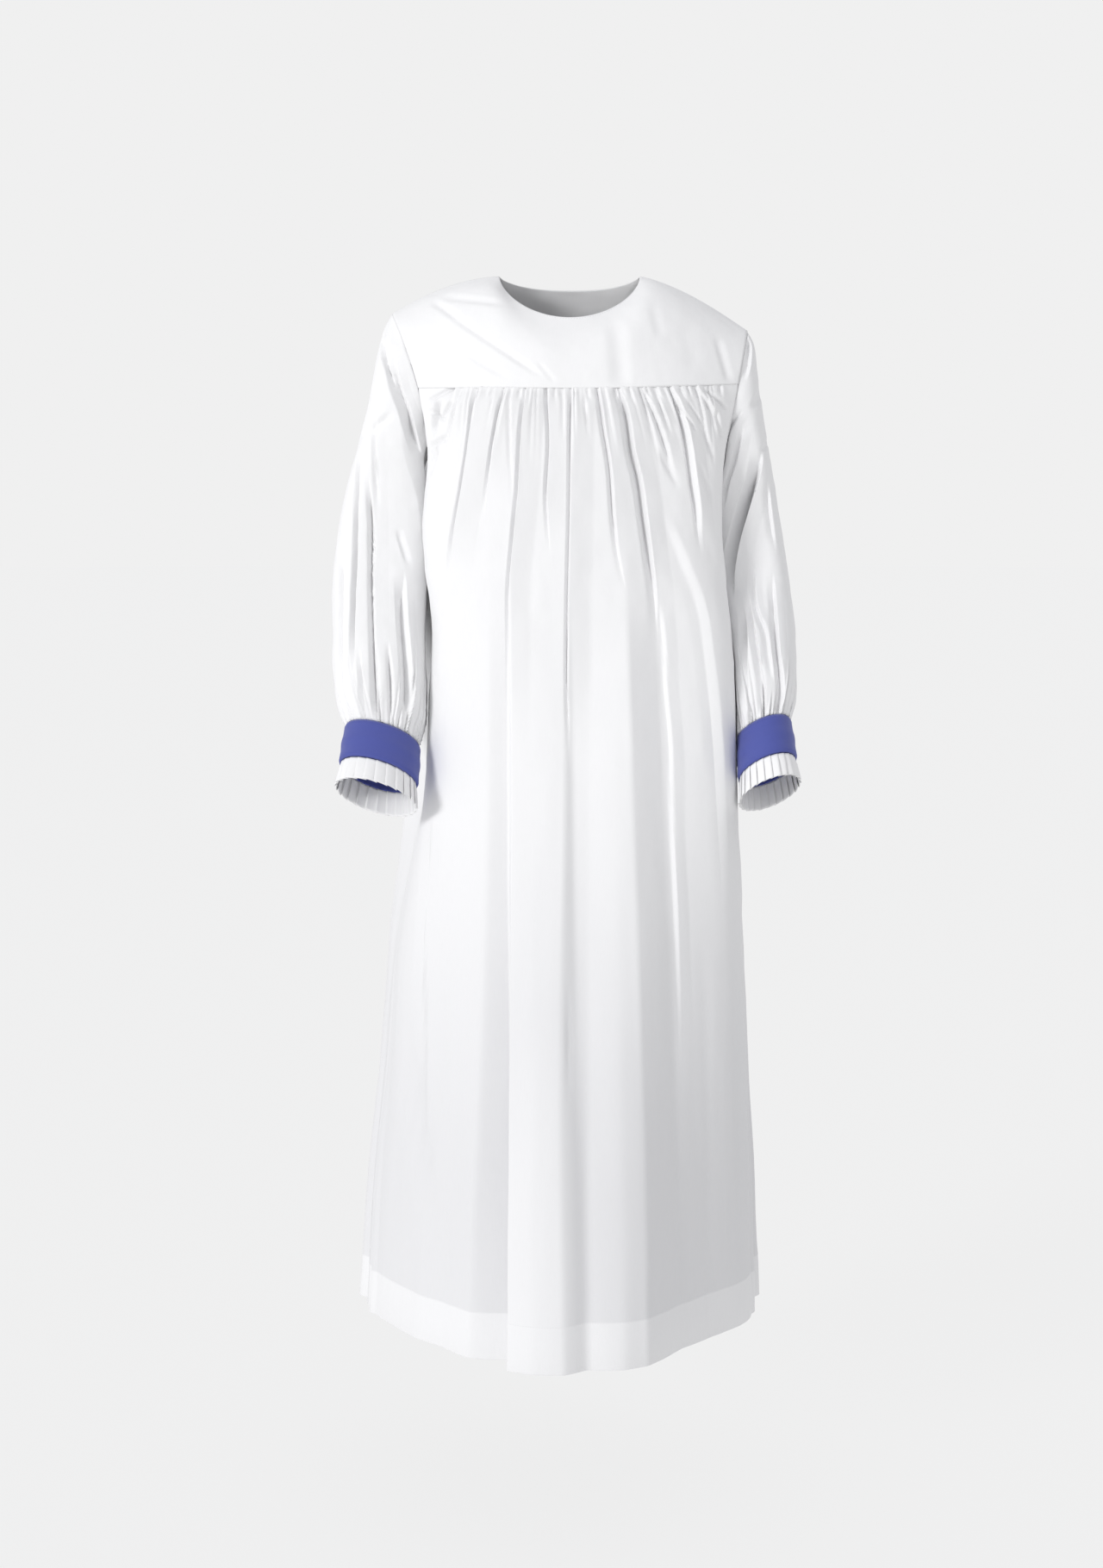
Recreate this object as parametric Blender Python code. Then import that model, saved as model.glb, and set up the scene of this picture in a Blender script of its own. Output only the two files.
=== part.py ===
"""A bishop's rochet as it hangs when worn: a long white gown with a plain yoke, a gathered
front and back, full bishop sleeves gathered into blue wristbands, and pleated wrist frills.

Metres, +Z up. +X is towards the wearer's left sleeve and the front faces -Y. The origin is
the middle of the neck opening, level with its two side points, where shoulders carry it.
"""

from collections import namedtuple
from math import cos, pi, radians, sin

import bmesh
import bpy
import numpy as np

# Cloth and seams
CLOTH = 0.0015
CUFF_CLOTH = 0.0020
FRILL_CLOTH = 0.0012
HEM_CLOTH = 0.0030
SEAM_GAP = 0.0005

# The neck opening
NECK_HALF = 0.084
NECK_FRONT_Y = -0.090
NECK_FRONT_DROP = 0.055
NECK_BACK_Y = 0.076
NECK_BACK_DROP = 0.010

# The middles of the yoke seams across the chest and across the back
FRONT_SEAM_Y = -0.131
FRONT_SEAM_Z = -0.139
BACK_SEAM_Y = 0.121
BACK_SEAM_Z = -0.150

# The hem, and the depth of cloth turned up behind it
HEM_Z = -1.266
HEM_DEPTH = 0.055
HEM_STEP = 0.003

# One armhole on each side: the highest and lowest points of its loop, how far it reaches
# forwards and back, how much it curves in towards the neck, how the shoulder line arches,
# and how high the front and back yoke seams meet it
Armhole = namedtuple(
    "Armhole", "side top_x top_z low_x low_z front back curve arch front_seam_z back_seam_z"
)
RIGHT_ARM = Armhole(-1, -0.213, -0.044, -0.167, -0.207, 0.067, 0.070, 0.008, 0.0056, -0.136, -0.146)
LEFT_ARM = Armhole(1, 0.213, -0.064, 0.181, -0.235, 0.067, 0.070, 0.002, 0.0030, -0.131, -0.146)

# The body's smooth form without its folds, in level sections. front and back are its reach
# in Y at the centre. The next columns are its half-widths on the right and the left at the
# front corner, the side seam and the back corner, and squareness is how far the corners
# reach in Y, as a share of the middle's reach
Section = namedtuple(
    "Section", "z front back r_corner r_side r_back l_corner l_side l_back squareness"
)
BODY_SECTIONS = [
    Section(-0.120, -0.129, 0.119, 0.176, 0.186, 0.176, 0.190, 0.204, 0.190, 0.69),
    Section(-0.210, -0.141, 0.129, 0.160, 0.167, 0.170, 0.172, 0.178, 0.184, 0.69),
    Section(-0.300, -0.150, 0.134, 0.164, 0.169, 0.192, 0.170, 0.176, 0.204, 0.69),
    Section(-0.360, -0.156, 0.137, 0.160, 0.170, 0.198, 0.174, 0.182, 0.210, 0.69),
    Section(-0.410, -0.161, 0.140, 0.154, 0.166, 0.197, 0.181, 0.181, 0.210, 0.69),
    Section(-0.500, -0.171, 0.146, 0.159, 0.166, 0.192, 0.186, 0.178, 0.204, 0.68),
    Section(-0.600, -0.182, 0.152, 0.161, 0.173, 0.193, 0.187, 0.182, 0.199, 0.66),
    Section(-0.700, -0.193, 0.160, 0.168, 0.193, 0.200, 0.190, 0.197, 0.199, 0.62),
    Section(-0.800, -0.204, 0.168, 0.176, 0.212, 0.206, 0.189, 0.209, 0.203, 0.58),
    Section(-0.950, -0.222, 0.180, 0.183, 0.226, 0.213, 0.190, 0.217, 0.208, 0.53),
    Section(-1.100, -0.238, 0.192, 0.190, 0.242, 0.222, 0.192, 0.224, 0.214, 0.48),
    Section(-1.270, -0.254, 0.205, 0.196, 0.252, 0.235, 0.196, 0.230, 0.222, 0.43),
]

# A panel's cloth runs from one side seam (-1) to the other (1). The yoke seam takes in the
# middle of its top edge and reaches as far round the body as SEAM_TURN, and the armholes cut
# the rest. Over SPREAD_LENGTH the cloth spreads out evenly, with EVEN_START of its width by
# the centre line, and over TOP_FIT it leaves the edge's line for the body's smooth form
SEAM_SHARE = 0.84
SEAM_TURN = 1.12
SPREAD_LENGTH = 0.34
EVEN_START = 0.686
TOP_FIT = 0.16
NORMAL_STEP = 0.05

# A yoke seam's shape: how fast it first runs sideways, and how late it curves back and down
SEAM_PACE = 1.14
SEAM_CURVE_BACK = 2.6
SEAM_CURVE_DOWN = 2.0

# Folds that stand out from a panel (+) or sink in (-): their places in X at four heights,
# where they begin and end, their half-widths and depths at the top and at the hem, and how
# much steeper the right side is than the left, or the left than the right where it is below 0
FOLD_HEIGHTS = (-0.14, -0.45, -0.85, -1.27)
FOLD_FADE = 0.07
Fold = namedtuple("Fold", "top chest knee hem begin end width hem_width depth hem_depth lean")
FRONT_FOLDS = [
    Fold(-0.128, -0.165, -0.165, -0.165, -0.10, -0.24, 0.010, 0.010, -0.005, -0.005, 0.0),
    Fold(-0.110, -0.152, -0.152, -0.152, -0.10, -0.37, 0.014, 0.014, -0.011, -0.011, 0.3),
    Fold(-0.077, -0.112, -0.112, -0.112, -0.10, -0.30, 0.011, 0.011, -0.007, -0.007, 0.0),
    Fold(-0.052, -0.076, -0.076, -0.076, -0.10, -0.46, 0.012, 0.012, -0.010, -0.010, -0.3),
    Fold(-0.028, -0.024, -0.024, -0.024, -0.13, -0.36, 0.009, 0.009, -0.007, -0.007, 0.0),
    Fold(-0.030, -0.038, -0.034, -0.030, -0.34, -1.40, 0.034, 0.041, 0.004, 0.026, 0.9),
    Fold(-0.010, -0.020, -0.016, -0.010, -0.40, -1.40, 0.010, 0.022, 0.003, 0.014, -0.5),
    Fold(0.001, -0.006, 0.002, 0.022, -0.10, -1.40, 0.011, 0.022, -0.009, -0.018, 0.0),
    Fold(0.033, 0.066, 0.066, 0.066, -0.10, -0.41, 0.011, 0.011, -0.008, -0.008, 0.2),
    Fold(0.057, 0.102, 0.102, 0.102, -0.10, -0.48, 0.013, 0.013, -0.014, -0.014, 0.4),
    Fold(0.084, 0.150, 0.150, 0.150, -0.10, -0.28, 0.010, 0.010, -0.007, -0.007, 0.0),
    Fold(0.122, 0.172, 0.172, 0.172, -0.10, -0.34, 0.012, 0.012, -0.009, -0.009, 0.2),
    Fold(0.040, 0.050, 0.055, 0.060, -0.40, -1.40, 0.022, 0.034, 0.006, 0.014, 0.3),
    Fold(0.090, 0.093, 0.098, 0.106, -0.50, -1.40, 0.018, 0.030, -0.006, -0.012, 0.0),
    Fold(0.092, 0.120, 0.126, 0.140, -0.26, -1.40, 0.014, 0.026, 0.008, 0.012, 0.2),
    Fold(0.150, 0.155, 0.160, 0.176, -0.55, -1.40, 0.018, 0.028, -0.005, -0.012, 0.0),
    Fold(-0.090, -0.090, -0.092, -0.094, -0.55, -1.40, 0.022, 0.032, -0.005, -0.014, 0.0),
    Fold(-0.130, -0.132, -0.140, -0.150, -0.40, -1.40, 0.024, 0.036, 0.006, 0.012, 0.0),
    Fold(-0.172, -0.172, -0.180, -0.196, -0.66, -1.40, 0.016, 0.022, -0.004, -0.010, 0.0),
]
BACK_FOLDS = [
    Fold(-0.120, -0.150, -0.156, -0.160, -0.11, -0.42, 0.013, 0.018, -0.010, -0.010, 0.2),
    Fold(-0.086, -0.104, -0.104, -0.104, -0.11, -0.34, 0.011, 0.014, -0.008, -0.008, 0.0),
    Fold(-0.050, -0.060, -0.066, -0.080, -0.11, -1.40, 0.014, 0.030, -0.010, -0.016, -0.2),
    Fold(-0.016, -0.020, -0.020, -0.020, -0.11, -0.33, 0.010, 0.012, -0.007, -0.007, 0.0),
    Fold(0.018, 0.016, 0.010, 0.004, -0.11, -1.40, 0.012, 0.028, -0.010, -0.018, 0.2),
    Fold(0.052, 0.062, 0.062, 0.062, -0.11, -0.38, 0.012, 0.014, -0.009, -0.009, 0.0),
    Fold(0.088, 0.100, 0.096, 0.092, -0.11, -1.40, 0.013, 0.030, -0.009, -0.016, 0.2),
    Fold(0.124, 0.150, 0.150, 0.150, -0.11, -0.36, 0.012, 0.014, -0.008, -0.008, 0.0),
    Fold(-0.025, -0.025, -0.032, -0.040, -0.40, -1.40, 0.024, 0.036, 0.006, 0.012, 0.0),
    Fold(0.045, 0.045, 0.048, 0.050, -0.42, -1.40, 0.022, 0.032, 0.007, 0.012, -0.2),
    Fold(-0.120, -0.120, -0.124, -0.130, -0.40, -1.40, 0.026, 0.034, 0.006, 0.012, 0.3),
    Fold(0.130, 0.132, 0.136, 0.142, -0.45, -1.40, 0.022, 0.034, 0.006, 0.012, 0.0),
    Fold(-0.168, -0.168, -0.174, -0.184, -0.60, -1.40, 0.018, 0.026, -0.005, -0.012, 0.0),
    Fold(0.168, 0.170, 0.174, 0.180, -0.62, -1.40, 0.018, 0.026, -0.005, -0.012, 0.0),
]

# Small gathers at the yoke seams, two columns of cloth to each: how many a panel has room
# for, where they stop at the right and the left, their depth, and how far down they reach
Gathers = namedtuple("Gathers", "count right_edge left_edge depth length")
FRONT_GATHERS = Gathers(42, -0.142, 0.188, 0.0030, 0.150)
BACK_GATHERS = Gathers(34, -0.150, 0.165, 0.0032, 0.140)
GATHER_EDGE = 0.012
GATHER_UNEVEN = 0.25
GATHER_BEAT = 2.4
GATHER_AT_SEAM = 0.6
GATHER_GROWTH = 0.02

# Near a side seam the folds flatten out, and at a yoke seam they are held in
FLAT_SIDE = 0.10
FOLD_AT_SEAM = 0.35
FOLD_GROWTH = 0.03

# Heights of the rows of a panel, as shares of the way from its top edge to the hem
FRONT_ROWS = (0, 0.012, 0.035, 0.070, 0.12, 0.18, 0.25, 0.34, 0.46, 0.60, 0.78)
BACK_ROWS = (0, 0.012, 0.040, 0.080, 0.140, 0.220, 0.32, 0.45, 0.62, 0.80)

# One yoke's rows and the columns on each side of its centre, and the share of them that the
# neck takes. From there to the armhole the yoke takes on the armhole's own curve, and its
# rounding over the body, from the centre to the armhole, points out and up
YOKE_COLUMNS = 14
YOKE_ROWS = 8
NECK_SHARE = 0.5
ARMHOLE_PULL_START = 0.3
ARMHOLE_PULL_CURVE = 1.5
YOKE_ROUNDING = (0.009, 0.020, 0.034, 0.017, 0.0)
CENTRE_OUT, CENTRE_UP = 0.95, 0.30
SHOULDER_OUT, SHOULDER_UP = 0.50, 0.86
NECK_FRONT_CURVE = 1.2
NECK_BACK_CURVE = 1.5
NECK_BACK_FULLNESS = 0.85
SHOULDER_FALL = 1.25

# The sleeves in sections: the outer and inner points of each in X and Z, its middle in Y,
# its reach forwards and back, and how far the front of the ring is tipped up. The first
# section is the armhole and the last is the wristband's upper edge
Ring = namedtuple("Ring", "out_x out_z in_x in_z mid_y front back tip")
RIGHT_SLEEVE = [
    Ring(-0.213, -0.044, -0.167, -0.207, 0.000, 0.067, 0.070, 0),
    Ring(-0.223, -0.064, -0.170, -0.211, 0.000, 0.067, 0.070, 0),
    Ring(-0.233, -0.104, -0.176, -0.217, 0.001, 0.066, 0.070, 0),
    Ring(-0.242, -0.150, -0.183, -0.228, 0.003, 0.065, 0.069, 1),
    Ring(-0.254, -0.197, -0.187, -0.247, 0.005, 0.065, 0.068, 2),
    Ring(-0.267, -0.245, -0.189, -0.277, 0.007, 0.066, 0.068, 4),
    Ring(-0.279, -0.302, -0.189, -0.318, 0.006, 0.068, 0.070, 8),
    Ring(-0.286, -0.366, -0.187, -0.372, -0.006, 0.070, 0.073, 16),
    Ring(-0.285, -0.424, -0.180, -0.424, -0.034, 0.069, 0.074, 24),
    Ring(-0.281, -0.468, -0.175, -0.474, -0.064, 0.062, 0.068, 30),
    Ring(-0.272, -0.504, -0.175, -0.519, -0.092, 0.049, 0.052, 33),
    Ring(-0.263, -0.5335, -0.178, -0.5565, -0.112, 0.037, 0.037, 33),
]
LEFT_SLEEVE = [
    Ring(0.213, -0.064, 0.181, -0.235, 0.000, 0.067, 0.070, 0),
    Ring(0.221, -0.084, 0.186, -0.238, 0.000, 0.067, 0.070, 0),
    Ring(0.226, -0.122, 0.192, -0.243, 0.001, 0.066, 0.070, 0),
    Ring(0.233, -0.168, 0.199, -0.252, 0.003, 0.065, 0.069, 1),
    Ring(0.241, -0.212, 0.204, -0.270, 0.007, 0.064, 0.068, 2),
    Ring(0.249, -0.258, 0.205, -0.298, 0.012, 0.063, 0.068, 4),
    Ring(0.258, -0.312, 0.203, -0.334, 0.013, 0.064, 0.070, 8),
    Ring(0.267, -0.372, 0.200, -0.380, 0.008, 0.068, 0.073, 14),
    Ring(0.272, -0.425, 0.200, -0.428, -0.014, 0.068, 0.074, 20),
    Ring(0.271, -0.466, 0.200, -0.474, -0.040, 0.062, 0.067, 25),
    Ring(0.266, -0.500, 0.200, -0.514, -0.066, 0.052, 0.054, 28),
    Ring(0.261, -0.5300, 0.1985, -0.5500, -0.085, 0.044, 0.044, 28),
]
SLEEVE_COLUMNS = 40
SLEEVE_ROWS = 13
ARMHOLE_CURVE_END = 0.25

# The gathers at a wristband, two columns of cloth to each: their depth, how uneven they are,
# and where along the sleeve they start, are full and are held in again
SLEEVE_GATHER_DEPTH = 0.0030
SLEEVE_GATHER_UNEVEN = 0.2
SLEEVE_GATHER_BEAT = 2.1
SLEEVE_GATHER_START = 0.74
SLEEVE_GATHER_FULL = 0.90
SLEEVE_GATHER_HELD = 0.5
CREASE_FADE = 0.15

# Long folds of a sleeve: their places round it at the top and at the wrist in degrees (0 on
# the outer side, 90 in front, 180 towards the body), where they begin and end along the
# sleeve, their half-width in degrees and their depth
Crease = namedtuple("Crease", "top wrist begin end width depth")
SLEEVE_CREASES = [
    Crease(38, 30, 0.12, 0.96, 16, -0.007),
    Crease(78, 62, 0.20, 0.98, 18, 0.005),
    Crease(108, 96, 0.10, 0.98, 15, -0.007),
    Crease(150, 138, 0.24, 0.94, 18, 0.004),
    Crease(215, 225, 0.20, 0.96, 18, -0.006),
    Crease(262, 268, 0.12, 0.98, 20, 0.005),
    Crease(300, 304, 0.10, 0.96, 16, -0.007),
    Crease(340, 345, 0.26, 0.96, 16, 0.004),
]

# Wristbands and the pleated frills below them
CUFF_COLUMNS = 32
CUFF_HEIGHT = 0.050
CUFF_FLARE = 0.0020
WRIST_SPREAD = 0.07
FRILL_PLEATS = 24
FRILL_HEIGHT = 0.029
FRILL_FLARE = 0.0035
PLEAT_DEPTH = 0.0026
FRILL_INSET = 0.0010
PLEAT_STEPS = (0.0, 1.0, 0.25)
FrillRow = namedtuple("FrillRow", "share flare depth")
FRILL_ROWS = [FrillRow(0, 0, 0.55), FrillRow(0.45, 0.35, 1), FrillRow(1, 1, 1)]

# Colours and surfaces
WHITE = (0.86, 0.86, 0.87, 1.0)
BLUE = (0.058, 0.072, 0.266, 1.0)
WHITE_ROUGHNESS = 0.85
BLUE_ROUGHNESS = 0.75
SMOOTH_ANGLE = radians(60)


def hermite(t, a, b, slope_a, slope_b):
    """Cubic from a to b with the given slopes, all as arrays."""
    return (
        (2 * t**3 - 3 * t**2 + 1) * a
        + (t**3 - 2 * t**2 + t) * slope_a
        + (3 * t**2 - 2 * t**3) * b
        + (t**3 - t**2) * slope_b
    )


def smooth_curve(at, knots, values):
    """Cubic interpolation through the values at the rising knots."""
    at = np.asarray(at, float)
    knots = np.asarray(knots, float)
    values = np.asarray(values, float)
    slopes = np.gradient(values, knots)
    i = np.clip(np.searchsorted(knots, at) - 1, 0, len(knots) - 2)
    span = knots[i + 1] - knots[i]
    t = np.clip((at - knots[i]) / span, 0, 1)
    return hermite(t, values[i], values[i + 1], span * slopes[i], span * slopes[i + 1])


def smooth_step(t):
    t = np.clip(t, 0, 1)
    return t * t * (3 - 2 * t)


def body_ring(turn, z):
    """(x, y) on the body's smooth form. turn is 0 at the centre front, 2 at the left side
    seam, 4 at the centre back and 6 at the right side seam."""
    turn, z = np.broadcast_arrays(np.asarray(turn, float), np.asarray(z, float))
    knots = [-section.z for section in BODY_SECTIONS]
    at = {
        name: smooth_curve(-z, knots, [getattr(section, name) for section in BODY_SECTIONS])
        for name in Section._fields[1:]
    }
    nothing = np.zeros_like(z)
    xs = [nothing, at["l_corner"], at["l_side"], at["l_back"]]
    xs += [nothing, -at["r_back"], -at["r_side"], -at["r_corner"]]
    near = at["squareness"] * at["front"]
    far = (1 + at["squareness"]) / 2 * at["back"]
    ys = [at["front"], near, nothing, far, at["back"], far, nothing, near]
    count = len(xs)
    ring = np.eye(count)
    spline = np.linalg.inv(4 * ring + np.roll(ring, 1, axis=0) + np.roll(ring, -1, axis=0))
    i = np.floor(turn).astype(int) % count
    t = turn - np.floor(turn)
    found = []
    for corners in (np.stack(xs, axis=-1), np.stack(ys, axis=-1)):
        change = 3 * (np.roll(corners, -1, axis=-1) - np.roll(corners, 1, axis=-1))
        slopes = change @ spline.T
        a, slope_a = (np.take_along_axis(v, i[..., None], -1)[..., 0] for v in (corners, slopes))
        j = (i[..., None] + 1) % count
        b, slope_b = (np.take_along_axis(v, j, -1)[..., 0] for v in (corners, slopes))
        found.append(hermite(t, a, b, slope_a, slope_b))
    return found


def armhole_point(arm, angle):
    """A point of an armhole's loop. angle is 0 on the shoulder, 90 in front, 180 in the
    armpit and 270 behind."""
    a = np.radians(angle)
    height = (1 + np.cos(a)) / 2
    x = arm.low_x + (arm.top_x - arm.low_x) * height - arm.side * arm.curve * np.sin(a) ** 2
    y = -np.sin(a) * np.where(np.sin(a) > 0, arm.front, arm.back)
    z = arm.low_z + (arm.top_z - arm.low_z) * height
    return np.stack([x, y, z], axis=-1)


def seam_angle(arm, back):
    """Where a yoke seam meets the armhole's loop."""
    z = arm.back_seam_z if back else arm.front_seam_z
    angle = np.degrees(np.arccos(2 * (z - arm.low_z) / (arm.top_z - arm.low_z) - 1))
    return 360 - angle if back else angle


def yoke_seam(share, back):
    """A point of a yoke seam. share runs from -1 at the right armhole to 1 at the left."""
    share = np.asarray(share, float)
    right, left = (armhole_point(arm, seam_angle(arm, back)) for arm in (RIGHT_ARM, LEFT_ARM))
    end = np.where(share[..., None] < 0, right, left)
    across = SEAM_PACE * np.abs(share) + (1 - SEAM_PACE) * np.abs(share) ** 3
    mid_y = BACK_SEAM_Y if back else FRONT_SEAM_Y
    mid_z = BACK_SEAM_Z if back else FRONT_SEAM_Z
    x = end[..., 0] * across
    y = mid_y + (end[..., 1] - mid_y) * across**SEAM_CURVE_BACK
    z = mid_z + (end[..., 2] - mid_z) * across**SEAM_CURVE_DOWN
    return np.stack([x, y, z], axis=-1)


def panel_top(u, back):
    """A point of a panel's top edge: up one armhole, along the yoke seam, down the other."""
    u = np.asarray(u, float)
    edge = yoke_seam(np.clip(u / SEAM_SHARE, -1, 1), back)
    down = np.clip((np.abs(u) - SEAM_SHARE) / (1 - SEAM_SHARE), 0, 1)
    for arm in (RIGHT_ARM, LEFT_ARM):
        start = seam_angle(arm, back)
        loop = armhole_point(arm, start + (180 - start) * down)
        edge = np.where(((np.sign(u) == arm.side) & (down > 0))[..., None], loop, edge)
    return edge


def panel_base(u, share, back):
    """The smooth form of a panel and its level outward direction. share runs from 0 at the
    panel's top edge to 1 at the hem."""
    top = panel_top(u, back)
    top_z = top[..., 2] - SEAM_GAP
    z = top_z + (HEM_Z - top_z) * share
    seam_part = np.clip(np.abs(u) / SEAM_SHARE, 0, 1)
    arm_part = np.clip((np.abs(u) - SEAM_SHARE) / (1 - SEAM_SHARE), 0, 1)
    gathered = np.sign(u) * (SEAM_TURN * seam_part + (2 - SEAM_TURN) * arm_part)
    even = 2 * (EVEN_START * u + (1 - EVEN_START) * u**3)
    turn = gathered + (even - gathered) * smooth_step((top_z - z) / SPREAD_LENGTH)
    if back:
        turn = 4 - turn
        gathered = 4 - gathered
    x, y = body_ring(turn, z)
    top_x, top_y = body_ring(gathered, top_z)
    fit = np.clip(1 - (top_z - z) / TOP_FIT, 0, 1) ** 2
    x = x + (top[..., 0] - top_x) * fit
    y = y + (top[..., 1] - top_y) * fit
    ahead = body_ring(turn + NORMAL_STEP, z)
    behind = body_ring(turn - NORMAL_STEP, z)
    along_x = ahead[0] - behind[0]
    along_y = ahead[1] - behind[1]
    out = np.stack([along_y, -along_x, np.zeros_like(x)], axis=-1)
    return np.stack([x, y, z], axis=-1), out / np.hypot(along_x, along_y)[..., None]


def fold_height(folds, x, z):
    """How far the folds move the cloth out at a place across the panel and a height."""
    total = np.zeros_like(x)
    knots = [-height for height in FOLD_HEIGHTS]
    for fold in folds:
        middle = smooth_curve(-z, knots, [fold.top, fold.chest, fold.knee, fold.hem])
        way = np.clip((FOLD_HEIGHTS[0] - z) / (FOLD_HEIGHTS[0] - FOLD_HEIGHTS[-1]), 0, 1)
        width = fold.width + (fold.hem_width - fold.width) * way
        depth = fold.depth + (fold.hem_depth - fold.depth) * way
        across = (1 + np.clip(np.sign(fold.lean or 1) * (x - middle) / width, -1, 1)) / 2
        across = across ** (4 ** -abs(fold.lean))
        shown = smooth_step((fold.begin - z) / FOLD_FADE) * smooth_step((z - fold.end) / FOLD_FADE)
        total += depth * shown * (1 - np.cos(2 * pi * across)) / 2
    return total


def panel(name, back, material):
    """The front or the back of the body, gathered into the yoke and hemmed at the foot."""
    gathers = BACK_GATHERS if back else FRONT_GATHERS
    rows = BACK_ROWS if back else FRONT_ROWS
    hem_top = 1 - HEM_DEPTH / (FRONT_SEAM_Z - HEM_Z)
    hem_step = HEM_STEP / (FRONT_SEAM_Z - HEM_Z)
    rows = np.array(rows + (hem_top, hem_top + hem_step, 1))
    u, share = np.meshgrid(np.linspace(-1, 1, 2 * gathers.count + 1), rows)
    base, out = panel_base(u, share, back)
    top = panel_top(u, back)
    below = top[..., 2] - base[..., 2]
    folds = fold_height(BACK_FOLDS if back else FRONT_FOLDS, base[..., 0], base[..., 2])
    folds *= smooth_step((1 - np.abs(u)) / FLAT_SIDE)
    folds *= FOLD_AT_SEAM + (1 - FOLD_AT_SEAM) * smooth_step(below / FOLD_GROWTH)
    count = np.arange(u.shape[1])
    waves = np.where(count % 2 == 0, 1, -1) * (1 - GATHER_UNEVEN * (1 - np.sin(GATHER_BEAT * count)))
    waves = gathers.depth * waves * smooth_step((top[..., 0] - gathers.right_edge) / GATHER_EDGE)
    waves *= smooth_step((gathers.left_edge - top[..., 0]) / GATHER_EDGE)
    waves *= smooth_step((SEAM_SHARE - np.abs(u)) / (1 - SEAM_SHARE))
    waves *= GATHER_AT_SEAM + (1 - GATHER_AT_SEAM) * smooth_step(below / GATHER_GROWTH)
    waves *= 1 - smooth_step(below / gathers.length)
    outer = base + out * (folds + waves)[..., None]
    wall = np.where(share > hem_top, HEM_CLOTH, CLOTH)
    inner = outer - out * wall[..., None]
    gap = SEAM_GAP / 2 if back else -SEAM_GAP / 2
    for skin in (outer, inner):
        skin[:, 0, 1] += gap
        skin[:, -1, 1] += gap
    cloth_body(name, outer, inner, False, material)


def neck_point(share, back):
    """A point of the neck opening. share runs from -1 at its right side to 1 at its left."""
    a = 0.5 * pi * (1 - np.abs(share))
    x = NECK_HALF * np.cos(a)
    y = NECK_FRONT_Y * np.sin(a)
    z = -NECK_FRONT_DROP * np.sin(a) ** NECK_FRONT_CURVE
    if back:
        x = NECK_HALF * np.cos(a) ** NECK_BACK_FULLNESS
        y = NECK_BACK_Y * np.sin(a)
        z = -NECK_BACK_DROP * np.sin(a) ** NECK_BACK_CURVE
    return np.stack([np.sign(share) * x, y, z], axis=-1)


def shoulder_point(arm, share):
    """A point of the shoulder seam. share runs from 0 at the neck to 1 at the armhole."""
    x = arm.side * NECK_HALF + (arm.top_x - arm.side * NECK_HALF) * share
    z = arm.top_z * share**SHOULDER_FALL + arm.arch * np.sin(pi * share)
    return np.stack([x, np.zeros_like(x), z], axis=-1)


def yoke(name, back, material):
    """The front or the back of the yoke, from the shoulder seams down to its own seam."""
    s = np.linspace(-1, 1, 2 * YOKE_COLUMNS + 1)
    neck_part = np.clip(np.abs(s) / NECK_SHARE, 0, 1)
    arm_part = np.clip((np.abs(s) - NECK_SHARE) / (1 - NECK_SHARE), 0, 1)
    top = neck_point(np.sign(s) * neck_part, back)
    for arm in (RIGHT_ARM, LEFT_ARM):
        here = (np.sign(s) == arm.side) & (arm_part > 0)
        top = np.where(here[:, None], shoulder_point(arm, arm_part), top)
    t = np.linspace(0, 1, YOKE_ROWS)[:, None]
    points = top + (yoke_seam(s, back) - top) * t[..., None]
    for arm in (RIGHT_ARM, LEFT_ARM):
        start = 360 if back else 0
        loop = armhole_point(arm, start + (seam_angle(arm, back) - start) * t[:, 0])
        chord = loop[0] + (loop[-1] - loop[0]) * t
        pull = np.clip((arm.side * s - ARMHOLE_PULL_START) / (1 - ARMHOLE_PULL_START), 0, 1)
        points = points + (loop - chord)[:, None, :] * pull[None, :, None] ** ARMHOLE_PULL_CURVE
    forward = 1 if back else -1
    rounding = smooth_curve(np.abs(s), np.linspace(0, 1, len(YOKE_ROUNDING)), YOKE_ROUNDING)
    rounding = rounding * np.sin(pi * t)
    shoulder = smooth_step(np.abs(s) / NECK_SHARE)
    points[..., 1] += forward * (CENTRE_OUT + (SHOULDER_OUT - CENTRE_OUT) * shoulder) * rounding
    points[..., 2] += (CENTRE_UP + (SHOULDER_UP - CENTRE_UP) * shoulder) * rounding
    down = np.gradient(points, axis=0)
    across = np.gradient(points, axis=1)
    out = np.cross(down, across) * -forward
    on_shoulder = np.abs(s) >= NECK_SHARE - SEAM_GAP
    for k, arm in ((0, RIGHT_ARM), (-1, LEFT_ARM)):
        middle = (armhole_point(arm, 0) + armhole_point(arm, 180)) / 2
        out[:, k] = points[:, k] - middle
        out[:, k, 0] = 0
    out[0, on_shoulder, 1] = 0
    out[-1, :, 2] = 0
    out = out / np.linalg.norm(out, axis=-1, keepdims=True)
    points[0, on_shoulder, 1] += forward * SEAM_GAP / 2
    cloth_body(name, points, points - out * CLOTH, False, material)


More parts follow.
